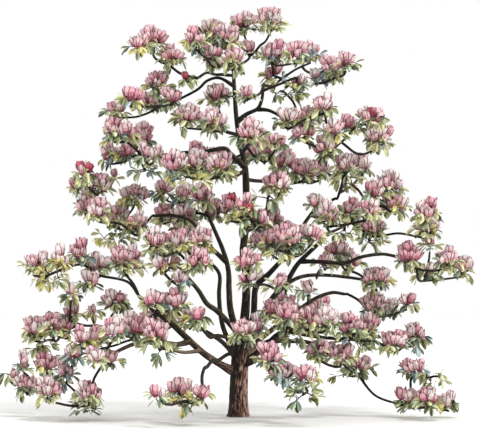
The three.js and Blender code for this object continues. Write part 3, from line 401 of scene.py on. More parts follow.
class Pad:
    """An ellipsoid that twigs, blossoms and leaves fill. Its hub is where the stem passes it."""

    def __init__(self, row):
        x, y, z, half_width, half_height = metres(row)
        half_depth = DEPTH_SHARE * min(half_width, FLATTEST * half_height)
        self.centre = np.array([x, y, z])
        self.half = np.array([half_width, half_depth, half_height])
        self.front = math.pi * half_width * half_height
        self.blooms = half_width < LEAF_PAD * half_height
        self.hub = self.centre - [0, 0, STEM_DROP * half_height if self.blooms else 0]

    def way_from(self, before):
        """The stem's way to here from another pad. A steep one swings behind the lower pad."""
        lower = min(before, self, key=lambda pad: pad.hub[2])
        climb = self.hub - before.hub
        if not lower.blooms or abs(climb[2]) < STEEP * math.hypot(climb[0], climb[1]):
            return [self.hub]
        return [before.hub + climb / 2 + [0, SWING * lower.half[0], 0], self.hub]

    def way_out(self, start):
        """The last stretch of a stem that ends in leaves, to the far side."""
        ahead = unit((self.centre - start) * [1, 1, 0])
        extent = 1 / math.hypot(ahead[0] / self.half[0], ahead[1] / self.half[1])
        return self.hub + ahead * STEM_REACH * extent + [0, 0, STEM_RISE * self.half[2]]


def chains_of(pads, start):
    """The pads of a mass in chains: each follows the nearest pad before it, or forks off there where that
    pad has its next already or the stem would bend too sharply."""
    chains = [[pads[0]]]
    for pad in pads[1:]:
        known = [some for chain in chains for some in chain]
        before = min(known, key=lambda some: np.linalg.norm(some.hub - pad.hub))
        chain = next((some for some in chains if some[-1] is before), None)
        if chain:
            course = unit(before.hub - (chain[-2].hub if len(chain) > 1 else start))
            if course.dot(unit(pad.hub - before.hub)) > SHARPEST_BEND:
                chain.append(pad)
                continue
        chains.append([before, pad])
    return chains


class Mass:
    """One mass: its pads and stems, and what grows on them."""

    def __init__(self, index, row, limbs):
        self.name, carrier, *foot, pads = row
        self.index = index
        self.random = np.random.default_rng(SEED + index)
        self.pads = [Pad(pad) for pad in pads]
        self.stems = []
        self.blossoms = []
        self.sprays = []
        self.twigs = []
        self.stretches = []
        self.add_stems(limbs[carrier], *foot)

    def add_stems(self, carrier, foot_at=math.inf, way=()):
        """The stem along the first chain of pads, and a side stem along each further chain."""
        foot, carrier_radius = carrier.at(metres(foot_at))
        radius = min(TRUNK_STEM_RADIUS, STEM_SHARE * carrier_radius)
        start = [foot, *metres(way)]
        if foot_at == math.inf:
            ahead = unit(carrier.points[-1] - carrier.points[-2])
            start.append(foot + ahead * STEM_LEAD * radius)
        for chain in chains_of(self.pads, start[-1]):
            points = [self.fork_for(chain[1].hub)[0]] if self.stems else [*start, chain[0].hub]
            radii = SIDE_STEM_RADII if self.stems else (radius, STEM_END_RADIUS)
            for before, pad in zip(chain, chain[1:]):
                points.extend(pad.way_from(before))
            if not chain[-1].blooms:
                points.append(chain[-1].way_out(points[-2]))
            stem = limb_through(self.swaying(points), radii, STEM_STEP)
            first = 0 if self.stems else len(stem.points) // (len(points) - 1)
            self.stems.append(stem)
            kept = [*range(first, len(stem.points) - 1, STRETCH_POINTS), len(stem.points) - 1]
            self.add_stretches(stem.points[kept], stem.radii[kept])

    def swaying(self, points):
        """A stem's points with one more between each two, off the straight line."""
        swayed = [points[0]]
        for before, point in zip(points, points[1:]):
            aside = self.random.normal(0, STEM_SWAY, 3) * np.linalg.norm(point - before)
            swayed.extend([(before + point) / 2 + aside, point])
        return swayed

    def add_stretches(self, points, radii):
        for i in range(len(points) - 1):
            self.stretches.append([*points[i], *points[i + 1], radii[i], radii[i + 1]])

    def fork_for(self, place):
        """The point, direction and radius of the fork from which a new twig is shortest, best from below."""
        rows = np.array(self.stretches)
        start, along = rows[:, :3], rows[:, 3:6] - rows[:, :3]
        share = np.einsum("ij,ij->i", place - start, along) / np.einsum("ij,ij->i", along, along)
        share = np.clip(share, FORK_MARGIN, 1 - FORK_MARGIN)
        points = start + along * share[:, None]
        fall = np.maximum(0, points[:, 2] - place[2])
        best = np.argmin(np.linalg.norm(points - place, axis=1) + FALL_COST * fall)
        radius = rows[best, 6] + (rows[best, 7] - rows[best, 6]) * share[best]
        return points[best], unit(along[best]), radius


class Space:
    """Where the limbs, stems and pads of the whole tree lie."""

    def __init__(self, limbs, masses):
        numbers = np.arange(len(masses))
        pads = [pad for mass in masses for pad in mass.pads]
        self.centres = np.array([pad.centre for pad in pads])
        self.halves = np.array([pad.half for pad in pads])
        self.owners = np.repeat(numbers, [len(mass.pads) for mass in masses])
        self.limb_points = np.vstack([limb.points[::2] for limb in limbs.values()])
        self.limb_radii = np.concatenate([limb.radii[::2] for limb in limbs.values()])
        self.stem_points = np.vstack([stem.points for mass in masses for stem in mass.stems])
        counts = [sum(len(stem.points) for stem in mass.stems) for mass in masses]
        self.stem_owners = np.repeat(numbers, counts)

    def is_own(self, mass, points):
        """Whether each point lies in the mass's own pads, and further in than in any other's."""
        reach = np.linalg.norm((points[:, None] - self.centres) / self.halves, axis=2)
        own = reach[:, self.owners == mass.index].min(axis=1)
        others = reach[:, self.owners != mass.index].min(axis=1)
        return (own <= 1) & (own + SPLIT < others)

    def is_clear(self, mass, points, gap, own_gap=-math.inf):
        """Whether each point keeps a gap to the trunk, the boughs, the other masses' stems and its own."""
        to_limbs = distances_between(points, self.limb_points) - self.limb_radii
        to_stems = distances_between(points, self.stem_points) - STEM_END_RADIUS
        gaps = np.where(self.stem_owners == mass.index, own_gap, gap)
        return (to_limbs.min(axis=1) > gap) & (to_stems > gaps).all(axis=1)


# ---- Growth ----


def directions_between(random, lowest, highest, count):
    """Random directions whose height lies between two values, from -1 straight down to 1 straight up."""
    turn = random.uniform(0, 2 * np.pi, count)
    height = random.uniform(lowest, highest, count)
    level = np.sqrt(1 - height * height)
    return np.stack([np.cos(turn) * level, np.sin(turn) * level, height], axis=1)


def spaced(points, spacing, wanted, taken):
    """The first points that keep their distance from each other and from those taken before."""
    kept = []
    for i, point in enumerate(points):
        near = taken + [points[k] for k in kept]
        if near and np.linalg.norm(np.array(near) - point, axis=1).min() < spacing:
            continue
        kept.append(i)
        if len(kept) == wanted:
            break
    return kept


def bent_line(start, leaving, end, arriving):
    """A twig's line: it leaves its host at a slant and ends in the direction that it carries."""
    length = np.linalg.norm(end - start)
    t = np.linspace(0, 1, TWIG_RINGS)[:, None]
    first = start + leaving * length * LEAVING_REACH
    last = end - arriving * length * ARRIVING_REACH
    return (1 - t) ** 3 * start + 3 * t * (1 - t) ** 2 * first + 3 * t * t * (1 - t) * last + t**3 * end


def add_twig(space, mass, end, arriving):
    """A twig to a place, or nothing where it would be too short or would touch another limb."""
    start, along, host_radius = mass.fork_for(end)
    outward = unit(end - start)
    if np.linalg.norm(end - start) < SHORTEST_TWIG:
        return False
    line = bent_line(start, unit(outward + TWIG_SLANT * along), end, arriving)
    if not space.is_clear(mass, line[2:], LIMB_GAP).all():
        return False
    foot_radius = min(TWIG_FOOT_RADIUS, TWIG_SHARE * host_radius)
    radii = np.linspace(max(foot_radius, TWIG_END_RADIUS), TWIG_END_RADIUS, TWIG_RINGS)
    mass.twigs.append((line, radii))
    mass.add_stretches(line, radii)
    return True


def add_blossoms(space, mass, pad):
    """A fan of blossoms that lean away from a point under the pad's hub, the lowest first."""
    wanted = max(FEWEST_BLOSSOMS, round(pad.front / BLOSSOM_ROOM))
    random = mass.random
    count = BLOSSOM_TRIES * wanted
    margins = [SIDE_MARGIN, SIDE_MARGIN, TOP_MARGIN * BLOSSOM_HEIGHT]
    inner = np.maximum(pad.half - margins, SHORTEST_TWIG)
    units = directions_between(random, LOWEST_BLOSSOM, 1, count)
    out = INNER_BLOSSOM + (1 - INNER_BLOSSOM) * np.sqrt(random.uniform(0, 1, count))
    middles = pad.centre + units * inner * out[:, None]
    leans = unit(middles - pad.hub + FAN_DEPTH * UP + random.normal(0, LEAN_SPREAD, (count, 3)))
    feet = middles - 0.5 * BLOSSOM_HEIGHT * leans
    fits = space.is_own(mass, middles)
    fits &= space.is_clear(mass, middles, BLOSSOM_GAP * BLOSSOM_HEIGHT, STEM_GAP)
    fits &= space.is_clear(mass, feet, LIMB_GAP)
    middles, leans, feet = middles[fits], leans[fits], feet[fits]
    kept = spaced(middles, BLOSSOM_SPACING, wanted, [blossom["middle"] for blossom in mass.blossoms])
    kept.sort(key=lambda k: np.linalg.norm(feet[k] - pad.hub))
    for k in kept:
        if add_twig(space, mass, feet[k], leans[k]):
            mass.blossoms.append({"foot": feet[k], "middle": middles[k], "lean": leans[k]})


def add_sprays(space, mass, pad):
    """Sprays of leaves near a pad's skin: a fringe below its blossoms, or all round in a pad of leaves."""
    room, highest = FRINGE if pad.blooms else FOLIAGE
    wanted = max(FEWEST_SPRAYS, round(pad.front / room))
    random = mass.random
    count = SPRAY_TRIES * wanted
    units = directions_between(random, -1, highest, count)
    out = random.uniform(*SPRAY_OUT, count)
    ends = pad.centre + units * pad.half * out[:, None]
    fits = space.is_own(mass, ends) & space.is_clear(mass, ends, LIMB_GAP)
    ends, units = ends[fits], units[fits]
    kept = spaced(ends, SPRAY_SPACING, wanted, [spray["end"] for spray in mass.sprays])
    for k in kept:
        direction = unit(units[k] * SPRAY_LEVEL + random.normal(0, SPRAY_SPREAD, 3))
        if add_twig(space, mass, ends[k], direction):
            mass.sprays.append({"end": ends[k], "direction": direction})


def grown_masses(limbs):
    masses = [Mass(index, row, limbs) for index, row in enumerate(MASSES)]
    space = Space(limbs, masses)
    for mass in masses:
        for pad in mass.pads:
            if pad.blooms:
                add_blossoms(space, mass, pad)
            add_sprays(space, mass, pad)
    return masses


# ---- Meshes of many grids ----


def in_scene(name, data):
    """A new object of the scene."""
    thing = bpy.data.objects.new(name, data)
    bpy.context.scene.collection.objects.link(thing)
    return thing


def grid_quads(count, rows, columns, wrapped):
    """Corner numbers of the quads of a batch of vertex grids."""
    numbers = np.arange(count * rows * columns).reshape(count, rows, columns)
    left, right = numbers[:, :, :-1], numbers[:, :, 1:]
    if wrapped:
        left, right = numbers, np.roll(numbers, -1, axis=2)
    return np.stack([left[:, :-1], right[:, :-1], right[:, 1:], left[:, 1:]], axis=-1)


def grid_mesh(name, vertices, materials, slots=None, places=None):
    """One object from a batch of vertex grids: count, rows, columns, 3. Slots give a material to each face.
    Grids that close round a limb give each vertex's distance along it, for the pattern of the bark."""
    quads = grid_quads(*vertices.shape[:3], wrapped=places is not None)
    across = quads.shape[2]
    corners = quads.reshape(-1, 4)
    mesh = bpy.data.meshes.new(name)
    mesh.from_pydata(vertices.reshape(-1, 3), [], corners, shade_flat=False)
    for material in materials:
        mesh.materials.append(material)
    if slots is not None:
        mesh.polygons.foreach_set("material_index", slots.astype(np.int32).ravel())
    if places is not None:
        layer = mesh.uv_layers.new(name="along_limb")
        turn = np.broadcast_to(np.arange(across)[:, None], quads.shape) + [0, 1, 1, 0]
        along = places.reshape(-1)[corners]
        layer.data.foreach_set("uv", np.stack([turn.reshape(-1, 4) / across, along], axis=-1).ravel())
    return in_scene(name, mesh)


def joined(name, pieces):
    """Several objects as one."""
    bpy.ops.object.select_all(action="DESELECT")
    for piece in pieces:
        piece.select_set(True)
    bpy.context.view_layer.objects.active = pieces[0]
    bpy.ops.object.join()
    pieces[0].name = name
    return pieces[0]


def placed(piece, nodes):
    """A finished piece rides on the root body and stands for its CAD nodes."""
    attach(piece, "root")
    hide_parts(*nodes)


def placed_growth(piece, masses):
    """A finished piece of what grows on all the masses."""
    placed(piece, ["mass_" + mass.name for mass in masses])


# ---- Materials ----


def principled(name, roughness, sheen=0.0):
    material = bpy.data.materials.new(name)
    material.use_nodes = True
    shader = material.node_tree.nodes["Principled BSDF"]
    shader.inputs["Roughness"].default_value = roughness
    shader.inputs["Sheen Weight"].default_value = sheen
    return material, shader


def linear(colour):
    """A colour as seen, from 0 to 255, as a linear one with alpha."""
    return [*((channel / 255) ** 2.2 for channel in colour), 1]


def added(tree, kind, inputs):
    """A new node, with each of its inputs set to a value or joined to another node's output."""
    node = tree.nodes.new(kind)
    for key, value in inputs.items():
        if isinstance(value, bpy.types.NodeSocket):
            tree.links.new(value, node.inputs[key])
        else:
            node.inputs[key].default_value = value
    return node


def mapped_noise(tree, coordinates, stretch, detail, scale=1.0):
    mapping = added(tree, "ShaderNodeMapping", {"Vector": coordinates, "Scale": stretch})
    inputs = {"Vector": mapping.outputs["Vector"], "Scale": scale, "Detail": detail}
    return added(tree, "ShaderNodeTexNoise", inputs).outputs["Fac"]


def calculated(tree, operation, first, second, clamped=False):
    """A sum, product or the like of two values, each a number or a socket."""
    node = added(tree, "ShaderNodeMath", {0: first, 1: second})
    node.operation = operation
    node.use_clamp = clamped
    return node.outputs["Value"]


def ramp(tree, value, stops):
    node = added(tree, "ShaderNodeValToRGB", {"Fac": value})
    elements = node.color_ramp.elements
    while len(elements) < len(stops):
        elements.new(0.5)
    for element, (position, colour) in zip(elements, stops):
        element.position = position
        element.color = linear(colour)
    return node.outputs["Color"]


def bumped(tree, shader, height, strength, distance):
    inputs = {"Height": height, "Strength": strength, "Distance": distance}
    bump = added(tree, "ShaderNodeBump", inputs)
    tree.links.new(bump.outputs["Normal"], shader.inputs["Normal"])


BARK_STOPS = [0.4, 0.52, 0.62, 0.74]
LOWER_WOOD = [(16, 13, 10), (58, 42, 33), (134, 98, 83), (206, 172, 158)]
CROWN_WOOD = [(10, 8, 7), (22, 18, 14), (56, 46, 34), (116, 100, 74)]
TWIG_WOOD = [(14, 11, 9), (26, 21, 16), (46, 37, 29), (78, 65, 50)]
LOWER_WOOD_TOP = 0.75  # height at which the bark starts to change to the darker colours of the crown
LOWER_WOOD_FADE = 0.4
PAINTED_LIGHT_SIDE = (0.9, -0.1, 0.3)  # painted light: the bark is lighter on the side that faces this way, towards the key light
PAINTED_LIGHT_SHIFT = 0.22  # how far painted light shifts that side towards the colours of the ridges, and the far side, as painted shade, towards those of the cracks
BARK_ROUGHNESS = 0.85
PLATE_STRETCH = (32, 9, 1)  # plates round a limb and along a metre of it
GRAIN_STRETCH = (60, 24, 1)
GRAIN_RELIEF = (0.5, 0.006)  # strength and distance of the bump


def bark_material(name, lower, upper):
    """Bark in long plates along the limb, dark in the cracks between them, with painted light and shade:
    lighter on the side that faces the key light, darker on the side away from it. Its colours from the cracks
    to the ridges change with height, from those of the lower trunk to the darker ones of the crown."""
    material, shader = principled(name, BARK_ROUGHNESS)
    tree = material.node_tree
    coordinates = tree.nodes.new("ShaderNodeTexCoord").outputs
    plates = mapped_noise(tree, coordinates["UV"], PLATE_STRETCH, detail=6)
    # Painted light and shade: the bark is lighter where its normal faces the key light and darker where it
    # faces away.
    facing = added(tree, "ShaderNodeVectorMath", {0: coordinates["Normal"], 1: PAINTED_LIGHT_SIDE})
    facing.operation = "DOT_PRODUCT"
    painted_light = calculated(tree, "MULTIPLY", facing.outputs["Value"], PAINTED_LIGHT_SHIFT)
    tone = calculated(tree, "ADD", plates, painted_light)
    split = added(tree, "ShaderNodeSeparateXYZ", {"Vector": coordinates["Object"]})
    # The bark turns darker with height, from the colours of the lower trunk to those of the crown.
    above = calculated(tree, "SUBTRACT", split.outputs["Z"], LOWER_WOOD_TOP)
    crown_share = calculated(tree, "MULTIPLY", above, 1 / LOWER_WOOD_FADE, clamped=True)
    mix = added(tree, "ShaderNodeMix", {"Factor": crown_share})
    mix.data_type = "RGBA"
    for socket, colours in ((mix.inputs[6], lower), (mix.inputs[7], upper)):
        tree.links.new(ramp(tree, tone, list(zip(BARK_STOPS, colours))), socket)
    tree.links.new(mix.outputs[2], shader.inputs["Base Color"])
    grain = mapped_noise(tree, coordinates["UV"], GRAIN_STRETCH, detail=8)
    bumped(tree, shader, grain, *GRAIN_RELIEF)
    return material


PETAL_LOOK = (0.55, 0.15, 60)  # roughness, sheen and scale of the veins
LEAF_LOOK = (0.5, 0.0, 90)
CLOUD_SCALE = 9.0
CLOUD_SHADES = (0.88, 1.06)  # where a petal or leaf is darkest and lightest, over its colour
VEIN_STRETCH = (1, 1, 0.35)
VEIN_RELIEF = (0.25, 0.002)


def tissue_material(name, colour, roughness, sheen, vein_scale):
    """A petal or leaf: one colour, slightly clouded, with a fine relief."""
    material, shader = principled(name, roughness, sheen)
    tree = material.node_tree
    place = tree.nodes.new("ShaderNodeTexCoord").outputs["Object"]
    clouds = mapped_noise(tree, place, (1, 1, 1), detail=3, scale=CLOUD_SCALE)
    darker, lighter = ([min(255, shade * channel) for channel in colour] for shade in CLOUD_SHADES)
    tree.links.new(ramp(tree, clouds, [(0.3, darker), (0.7, lighter)]), shader.inputs["Base Color"])
    veins = mapped_noise(tree, place, VEIN_STRETCH, detail=4, scale=vein_scale)
    bumped(tree, shader, veins, *VEIN_RELIEF)
    return material


# ---- Bark of the trunk and boughs ----

# Plates, cracks, grain and knots of the bark: length along the limb, how many stand round it, share of the
# relief, and whether the wave is folded to sharp lines.
PLATES = (0.16, 13, 0.5, False)
CRACKS = (0.09, 19, 0.9, True)
GRAIN = (0.035, 34, 0.3, False)
KNOTS = (0.3, 4, 0.7, False)
CRACK_DEPTH = 0.4


def bark_relief(seed, around, along):
    """How far the bark stands out at each place, over the limb's radius."""
    relief = 0
    for number, (length, cells, share, folded) in enumerate((PLATES, CRACKS, GRAIN, KNOTS)):
        wave = wavy(seed + number, around, along / length, cells)
        relief = relief + share * (np.abs(wave) if folded else wave)
    return PLATE_DEPTH * (relief - CRACK_DEPTH)


def places_on(limb, sides):
    """The places round and along a limb of the corners of its rings."""
    around = np.broadcast_to(np.arange(sides) / sides, (len(limb.points), sides))
    return around, np.broadcast_to(limb.along[:, None], around.shape)


def tube(name, limb, radii, around, along, material):
    """The skin of a limb, cut off flat at ground level."""
    rings = rings_round(limb.points, ring_frames(limb.points), radii, around)
    rings[..., 2] = np.maximum(rings[..., 2], 0)
    return grid_mesh(name, rings[None], [material], places=along[None])


def limb_bark(name, limb, sides, seed, carrier_radius, material):
    """A limb's bark. A bough swells to a collar where it leaves its carrier, and the trunk has its flare."""
    around, along = places_on(limb, sides)
    radii = limb.radii[:, None] * (1 + bark_relief(seed, around, along))
    if carrier_radius:
        beyond = np.maximum(along - carrier_radius, 0) / COLLAR_LENGTH
        radii = radii * (1 + COLLAR_SWELL * np.exp(-beyond * beyond))
    else:
        fade = np.maximum(0, 1 - along / FLARE_TOP)
        radii = radii * (1 + FLARE_DEPTH * fade * np.cos(FLARE_LOBES * 2 * np.pi * around))
    return tube(name, limb, radii, around, along, material)


def add_bark(limbs):
    material = bark_material("bark", LOWER_WOOD, CROWN_WOOD)
    trunk = limb_bark("trunk_bark", limbs["trunk"], TRUNK_SIDES, SEED, 0, material)
    placed(trunk, ["trunk"])
    boughs = []
    for index, (name, carrier, foot_at, *_) in enumerate(BOUGHS):
        _, carrier_radius = limbs[carrier].at(metres(foot_at))
        seed = SEED + BOUGH_SEED * (index + 1)
        boughs.append(limb_bark(name, limbs[name], BOUGH_SIDES, seed, carrier_radius, material))
    placed(joined("bough_bark", boughs), ["bough_" + row[0] for row in BOUGHS])


# ---- Stems and twigs ----


def add_stem_bark(masses, material):
    length, cells, height = STEM_KNOTS
    pieces = []
    for stem in (stem for mass in masses for stem in mass.stems):
        around, along = places_on(stem, STEM_SIDES)
        radii = stem.radii[:, None] * (1 + height * wavy(SEED + len(pieces), around, along / length, cells))
        pieces.append(tube("stem", stem, radii, around, along, material))
    placed_growth(joined("stems", pieces), masses)


def add_twigs(masses, material):
    lines = np.array([line for mass in masses for line, _ in mass.twigs])
    radii = np.array([radius for mass in masses for _, radius in mass.twigs])
    ahead = unit(np.gradient(lines, axis=1))
    across = unit(np.cross(ahead, unit(OFF_TWIGS)))
    around = np.arange(TWIG_SIDES) / TWIG_SIDES
    rings = rings_round(lines, (across, np.cross(ahead, across)), radii[..., None], around)
    places = np.broadcast_to(distances_along(lines)[..., None], rings.shape[:3])
    placed_growth(grid_mesh("twigs", rings, [material], places=places), masses)


# ---- Blossoms ----

# Rows of a petal from its foot to its tip: how far along it they lie, and how wide it is there.
PETAL_ROWS = np.array([0, 0.12, 0.34, 0.64, 0.9, 1.0])
PETAL_WIDTHS = np.array([0.34, 0.62, 0.92, 1.0, 0.8, 0.4])
PETAL_COLUMNS = np.array([-1, -0.8, 0, 0.8, 1])
# How far a petal tilts out from the blossom's axis, in degrees, between each two rows: shut and open.
SHUT_TILT = np.array([66, 26, 2, -14, -30])
OPEN_TILT = np.array([80, 48, 24, 8, 4])
CUP = 0.42  # how far a petal's edges curve in, over its half width
PETAL_FOOT = 0.006  # from the blossom's axis to a petal's foot
PETAL_CURVE = 1.12  # a petal's length along its curve, over its height
PETAL_LENGTHS = (0.93, 1.05)  # spread of their lengths
BLOSSOM_HEIGHTS = (0.78, 1.16)  # spread of the blossoms' heights, over BLOSSOM_HEIGHT
OPENNESS = (1.6, 2.2)  # beta distribution of the blossoms' openness, 0 shut and 1 open
OPENNESS_LIMITS = (-0.15, 1.25)
OPENNESS_SPREAD = 0.08  # among the petals of a blossom
TURN_SPREAD = 0.1
OFF_AXES = [0.36, 0.8, 0.48]  # a direction off the blossoms' axes, to lay out their petals

# Whorls from the outside: petals, turn of the whorl, openness added, length and width over the blossom's
# height, and which colours of the tint they have.
WHORLS = [
    (3, 0.0, 0.35, 0.9, 0.54, 0),
    (3, 0.5, 0.1, 1.0, 0.5, 0),
    (3, 0.2, -0.35, 0.95, 0.42, 1),
]

# Tints of whole blossoms: name, share of the blossoms, and the colours of an outer and of an inner petal, in
# bands from foot to tip, then of its dark margin, which is painted shade between the petals, like an outline.
TINTS = [
    ("dusty", 0.44, [(160, 80, 98), (218, 154, 166), (236, 196, 200), (98, 58, 68)],
     [(196, 132, 144), (226, 180, 186), (240, 212, 212), (124, 82, 90)]),
    ("pale", 0.3, [(178, 116, 130), (230, 196, 198), (243, 224, 222), (114, 80, 86)],
     [(212, 170, 176), (238, 216, 214), (247, 234, 230), (138, 104, 108)]),
    ("rose", 0.26, [(150, 62, 84), (206, 126, 144), (228, 170, 180), (88, 42, 54)],
     [(180, 102, 120), (216, 154, 166), (234, 190, 196), (108, 62, 72)]),
    ("deep", 0, [(118, 22, 44), (166, 44, 66), (190, 84, 100), (80, 18, 32)],
     [(140, 34, 56), (180, 74, 92), (204, 118, 130), (94, 30, 44)]),
]
PETAL_BANDS = [0, 0, 1, 2, 2]
PAINTED_SHADE_MARGIN = 3
PETAL_COLOURS = 4
DEEP = 3
# Places whose nearest blossom has the deep tint.
DEEP_PLACES = [
    (-0.09, -1.02, 3.1), (0.2, -1.25, 2.8), (-0.5, -1.55, 2.4), (-2.27, -0.15, 3.75), (-1.9, -0.1, 3.4),
    (-0.85, -0.4, 4.8), (1.95, -0.6, 4.45), (-2.15, -1.05, 0.4),
]


def petal_grids(feet, leans, turns, lengths, openness, halves):
    """Vertices of one petal of every blossom, by its foot, axis, turn, length, openness and half widths."""
    tilt = np.radians(SHUT_TILT + (OPEN_TILT - SHUT_TILT) * openness[:, None])
    steps = np.diff(PETAL_ROWS) * lengths[:, None]
    out = sums_from_zero(steps * np.sin(tilt))
    up = sums_from_zero(steps * np.cos(tilt))
    side = unit(np.cross(leans, OFF_AXES))
    radial = turned(side, np.cross(leans, side), turns)
    across = np.cross(leans, radial)
    outward = radial[:, None] * (out + PETAL_FOOT)[..., None]
    centres = feet[:, None] + leans[:, None] * up[..., None] + outward
    row_tilt = np.concatenate([tilt[:, :1], (tilt[:, 1:] + tilt[:, :-1]) / 2, tilt[:, -1:]], axis=1)
    normal = turned(radial[:, None], -leans[:, None], row_tilt)
    columns = PETAL_COLUMNS[:, None]
    sideways = across[:, None, None] * columns * halves[..., None, None]
    inward = normal[:, :, None] * columns**2 * (CUP * halves)[..., None, None]
    return centres[:, :, None] + sideways - inward


def grown_petals(masses):
    """The grids of all petals of every blossom, and the number of each face's material. The materials run on
    in the order of TINTS."""
    blossoms = [blossom for mass in masses for blossom in mass.blossoms]
    random = np.random.default_rng(SEED + BLOSSOM_SEED)
    count = len(blossoms)
    feet = np.array([blossom["foot"] for blossom in blossoms])
    leans = np.array([blossom["lean"] for blossom in blossoms])
    turns = random.uniform(0, 2 * np.pi, count)
    heights = BLOSSOM_HEIGHT * random.uniform(*BLOSSOM_HEIGHTS, count)
    openness = random.beta(*OPENNESS, count)
    tints = random.choice(len(TINTS), count, p=[share for _, share, *_ in TINTS])
    tints[distances_between(feet, DEEP_PLACES).argmin(axis=0)] = DEEP
    faces = np.repeat(np.array(PETAL_BANDS)[:, None], len(PETAL_COLUMNS) - 1, axis=1)
    # A petal's two outer columns take the dark margin: painted shade between the petals, drawn as an outline.
    faces[:, [0, -1]] = PAINTED_SHADE_MARGIN
    grids, slots = [], []
    for petals, whorl_turn, opener, length, width, side in WHORLS:
        halves = 0.5 * width * heights[:, None] * PETAL_WIDTHS
        first = PETAL_COLOURS * (2 * tints + side)
        for petal in range(petals):
            turn = turns + 2 * np.pi * (petal + whorl_turn) / petals + random.normal(0, TURN_SPREAD, count)
            open_share = openness + opener + random.normal(0, OPENNESS_SPREAD, count)
            open_share = np.clip(open_share, *OPENNESS_LIMITS)
            lengths = heights * length * random.uniform(*PETAL_LENGTHS, count) * PETAL_CURVE
            grids.append(petal_grids(feet, leans, turn, lengths, open_share, halves))
            slots.append(first[:, None, None] + faces)
    return np.stack(grids, axis=1), np.stack(slots, axis=1)


def add_petals(masses):
    materials = [
        tissue_material(f"petal_{name}_{side}_{number}", colour, *PETAL_LOOK)
        for name, _, *sides in TINTS
        for side, colours in zip(("outer", "inner"), sides)
        for number, colour in enumerate(colours)
    ]
    add_pieces("blossoms", *grown_petals(masses), materials, masses)


def add_pieces(name, grids, slots, materials, masses):
    """Splits blossoms or leaves, each of several grids, into pieces under the limit of triangles."""
    count, parts, rows, columns, _ = grids.shape
    triangles = count * parts * (rows - 1) * (columns - 1) * 2
    number = math.ceil(triangles / PIECE_TRIANGLES)
    batches = zip(np.array_split(grids, number), np.array_split(slots, number))
    for index, (some, kinds) in enumerate(batches):
        vertices = some.reshape(-1, rows, columns, 3)
        placed_growth(grid_mesh(f"{name}_{index + 1}", vertices, materials, slots=kinds), masses)


# ---- Leaves ----

# Rows of a leaf from its stalk to its tip: how far along it they lie, and how wide it is there.
LEAF_ROWS = np.array([0, 0.3, 0.58, 0.84, 1.0])
LEAF_WIDTHS = np.array([0.1, 0.62, 1.0, 0.82, 0.12])
LEAF_COLUMNS = np.array([-1.0, 0.0, 1.0])
LEAF_FOLD = 0.3
LEAF_LENGTH = 0.14
LEAF_WIDTH = 0.068
LEAF_LENGTHS = (0.75, 1.2)  # spread of their lengths, over LEAF_LENGTH
LEAF_ROLL = 0.5
LEAF_DROOP = 0.3  # most that a leaf's tip hangs down, over its length
GROUND_GAP = 0.02
SPRAY_LEAVES = 5
LEAF_SPREAD = 0.6  # among the leaves of a spray
LEAF_DIP = 0.15
COLLAR_LEAVES = 2  # leaves under one blossom
COLLAR_SLOPES = (-0.8, 0.0)
COLLAR_DROP = 0.01
# Colours of a leaf's lit half and its shaded half, painted light and shade across its fold. A leaf painted as
# lying in shadow has the second and third.
LEAF_COLOURS = [
    [(246, 242, 196), (188, 188, 136), (100, 106, 72)],
    [(230, 234, 188), (158, 166, 122), (78, 90, 62)],
    [(206, 218, 184), (130, 144, 116), (62, 76, 58)],
    [(200, 216, 210), (126, 148, 148), (66, 86, 92)],
    [(242, 234, 162), (202, 194, 118), (126, 118, 68)],
]
LEAF_SHARES = [0.36, 0.32, 0.24, 0.04, 0.04]
SHADOWED_LEAF_SHARE = 0.3
# Places from the front, [x, z], round which a share of the sprays is blue-green or yellow.
BLUE, YELLOW = 3, 4
ACCENTS = [
    (BLUE, [(-2.26, 0.82), (-1.91, 4.15), (0.55, 0.64), (-1.2, 3.45), (0.9, 5.2), (2.65, 0.64)]),
    (YELLOW, [(-2.6, 2.04), (-1.38, 5.49), (-2.26, 1.34), (3.0, 0.2), (-0.5, 0.4), (-1.73, 2.86)]),
]
ACCENT_REACH = 0.42
ACCENT_SHARE = 0.28


def leaf_places(masses, random):
    """The foot and direction of every leaf, and the spray it belongs to."""
    feet, directions = [], []
    for mass in masses:
        for spray in mass.sprays:
            spread = random.normal(0, LEAF_SPREAD, (SPRAY_LEAVES, 3)) - [0, 0, LEAF_DIP]
            feet.append([spray["end"]] * SPRAY_LEAVES)
            directions.append(unit(spray["direction"] + spread))
        for blossom in mass.blossoms:
            turns = random.uniform(0, 2 * np.pi) + 2 * np.pi * np.arange(COLLAR_LEAVES) / COLLAR_LEAVES
            slopes = random.uniform(*COLLAR_SLOPES, COLLAR_LEAVES)
            feet.append([blossom["foot"] - COLLAR_DROP * blossom["lean"]] * COLLAR_LEAVES)
            directions.append(unit(np.stack([np.cos(turns), np.sin(turns), slopes], axis=1)))
    sprays = np.repeat(np.arange(len(feet)), [len(spray) for spray in feet])
    return np.concatenate(feet), np.concatenate(directions), sprays


def spray_colours(feet, sprays, random):
    """The number of the colours of every spray, by chance and by the places of the accents."""
    count = sprays.max() + 1
    colours = random.choice(len(LEAF_COLOURS), count, p=LEAF_SHARES)
    taken = random.uniform(0, 1, count) < ACCENT_SHARE
    spots = np.zeros((count, 2))
    spots[sprays] = feet[:, [0, 2]]
    for colour, places in ACCENTS:
        near = distances_between(spots, places).min(axis=1) < ACCENT_REACH
        colours[taken & near] = colour
    return colours


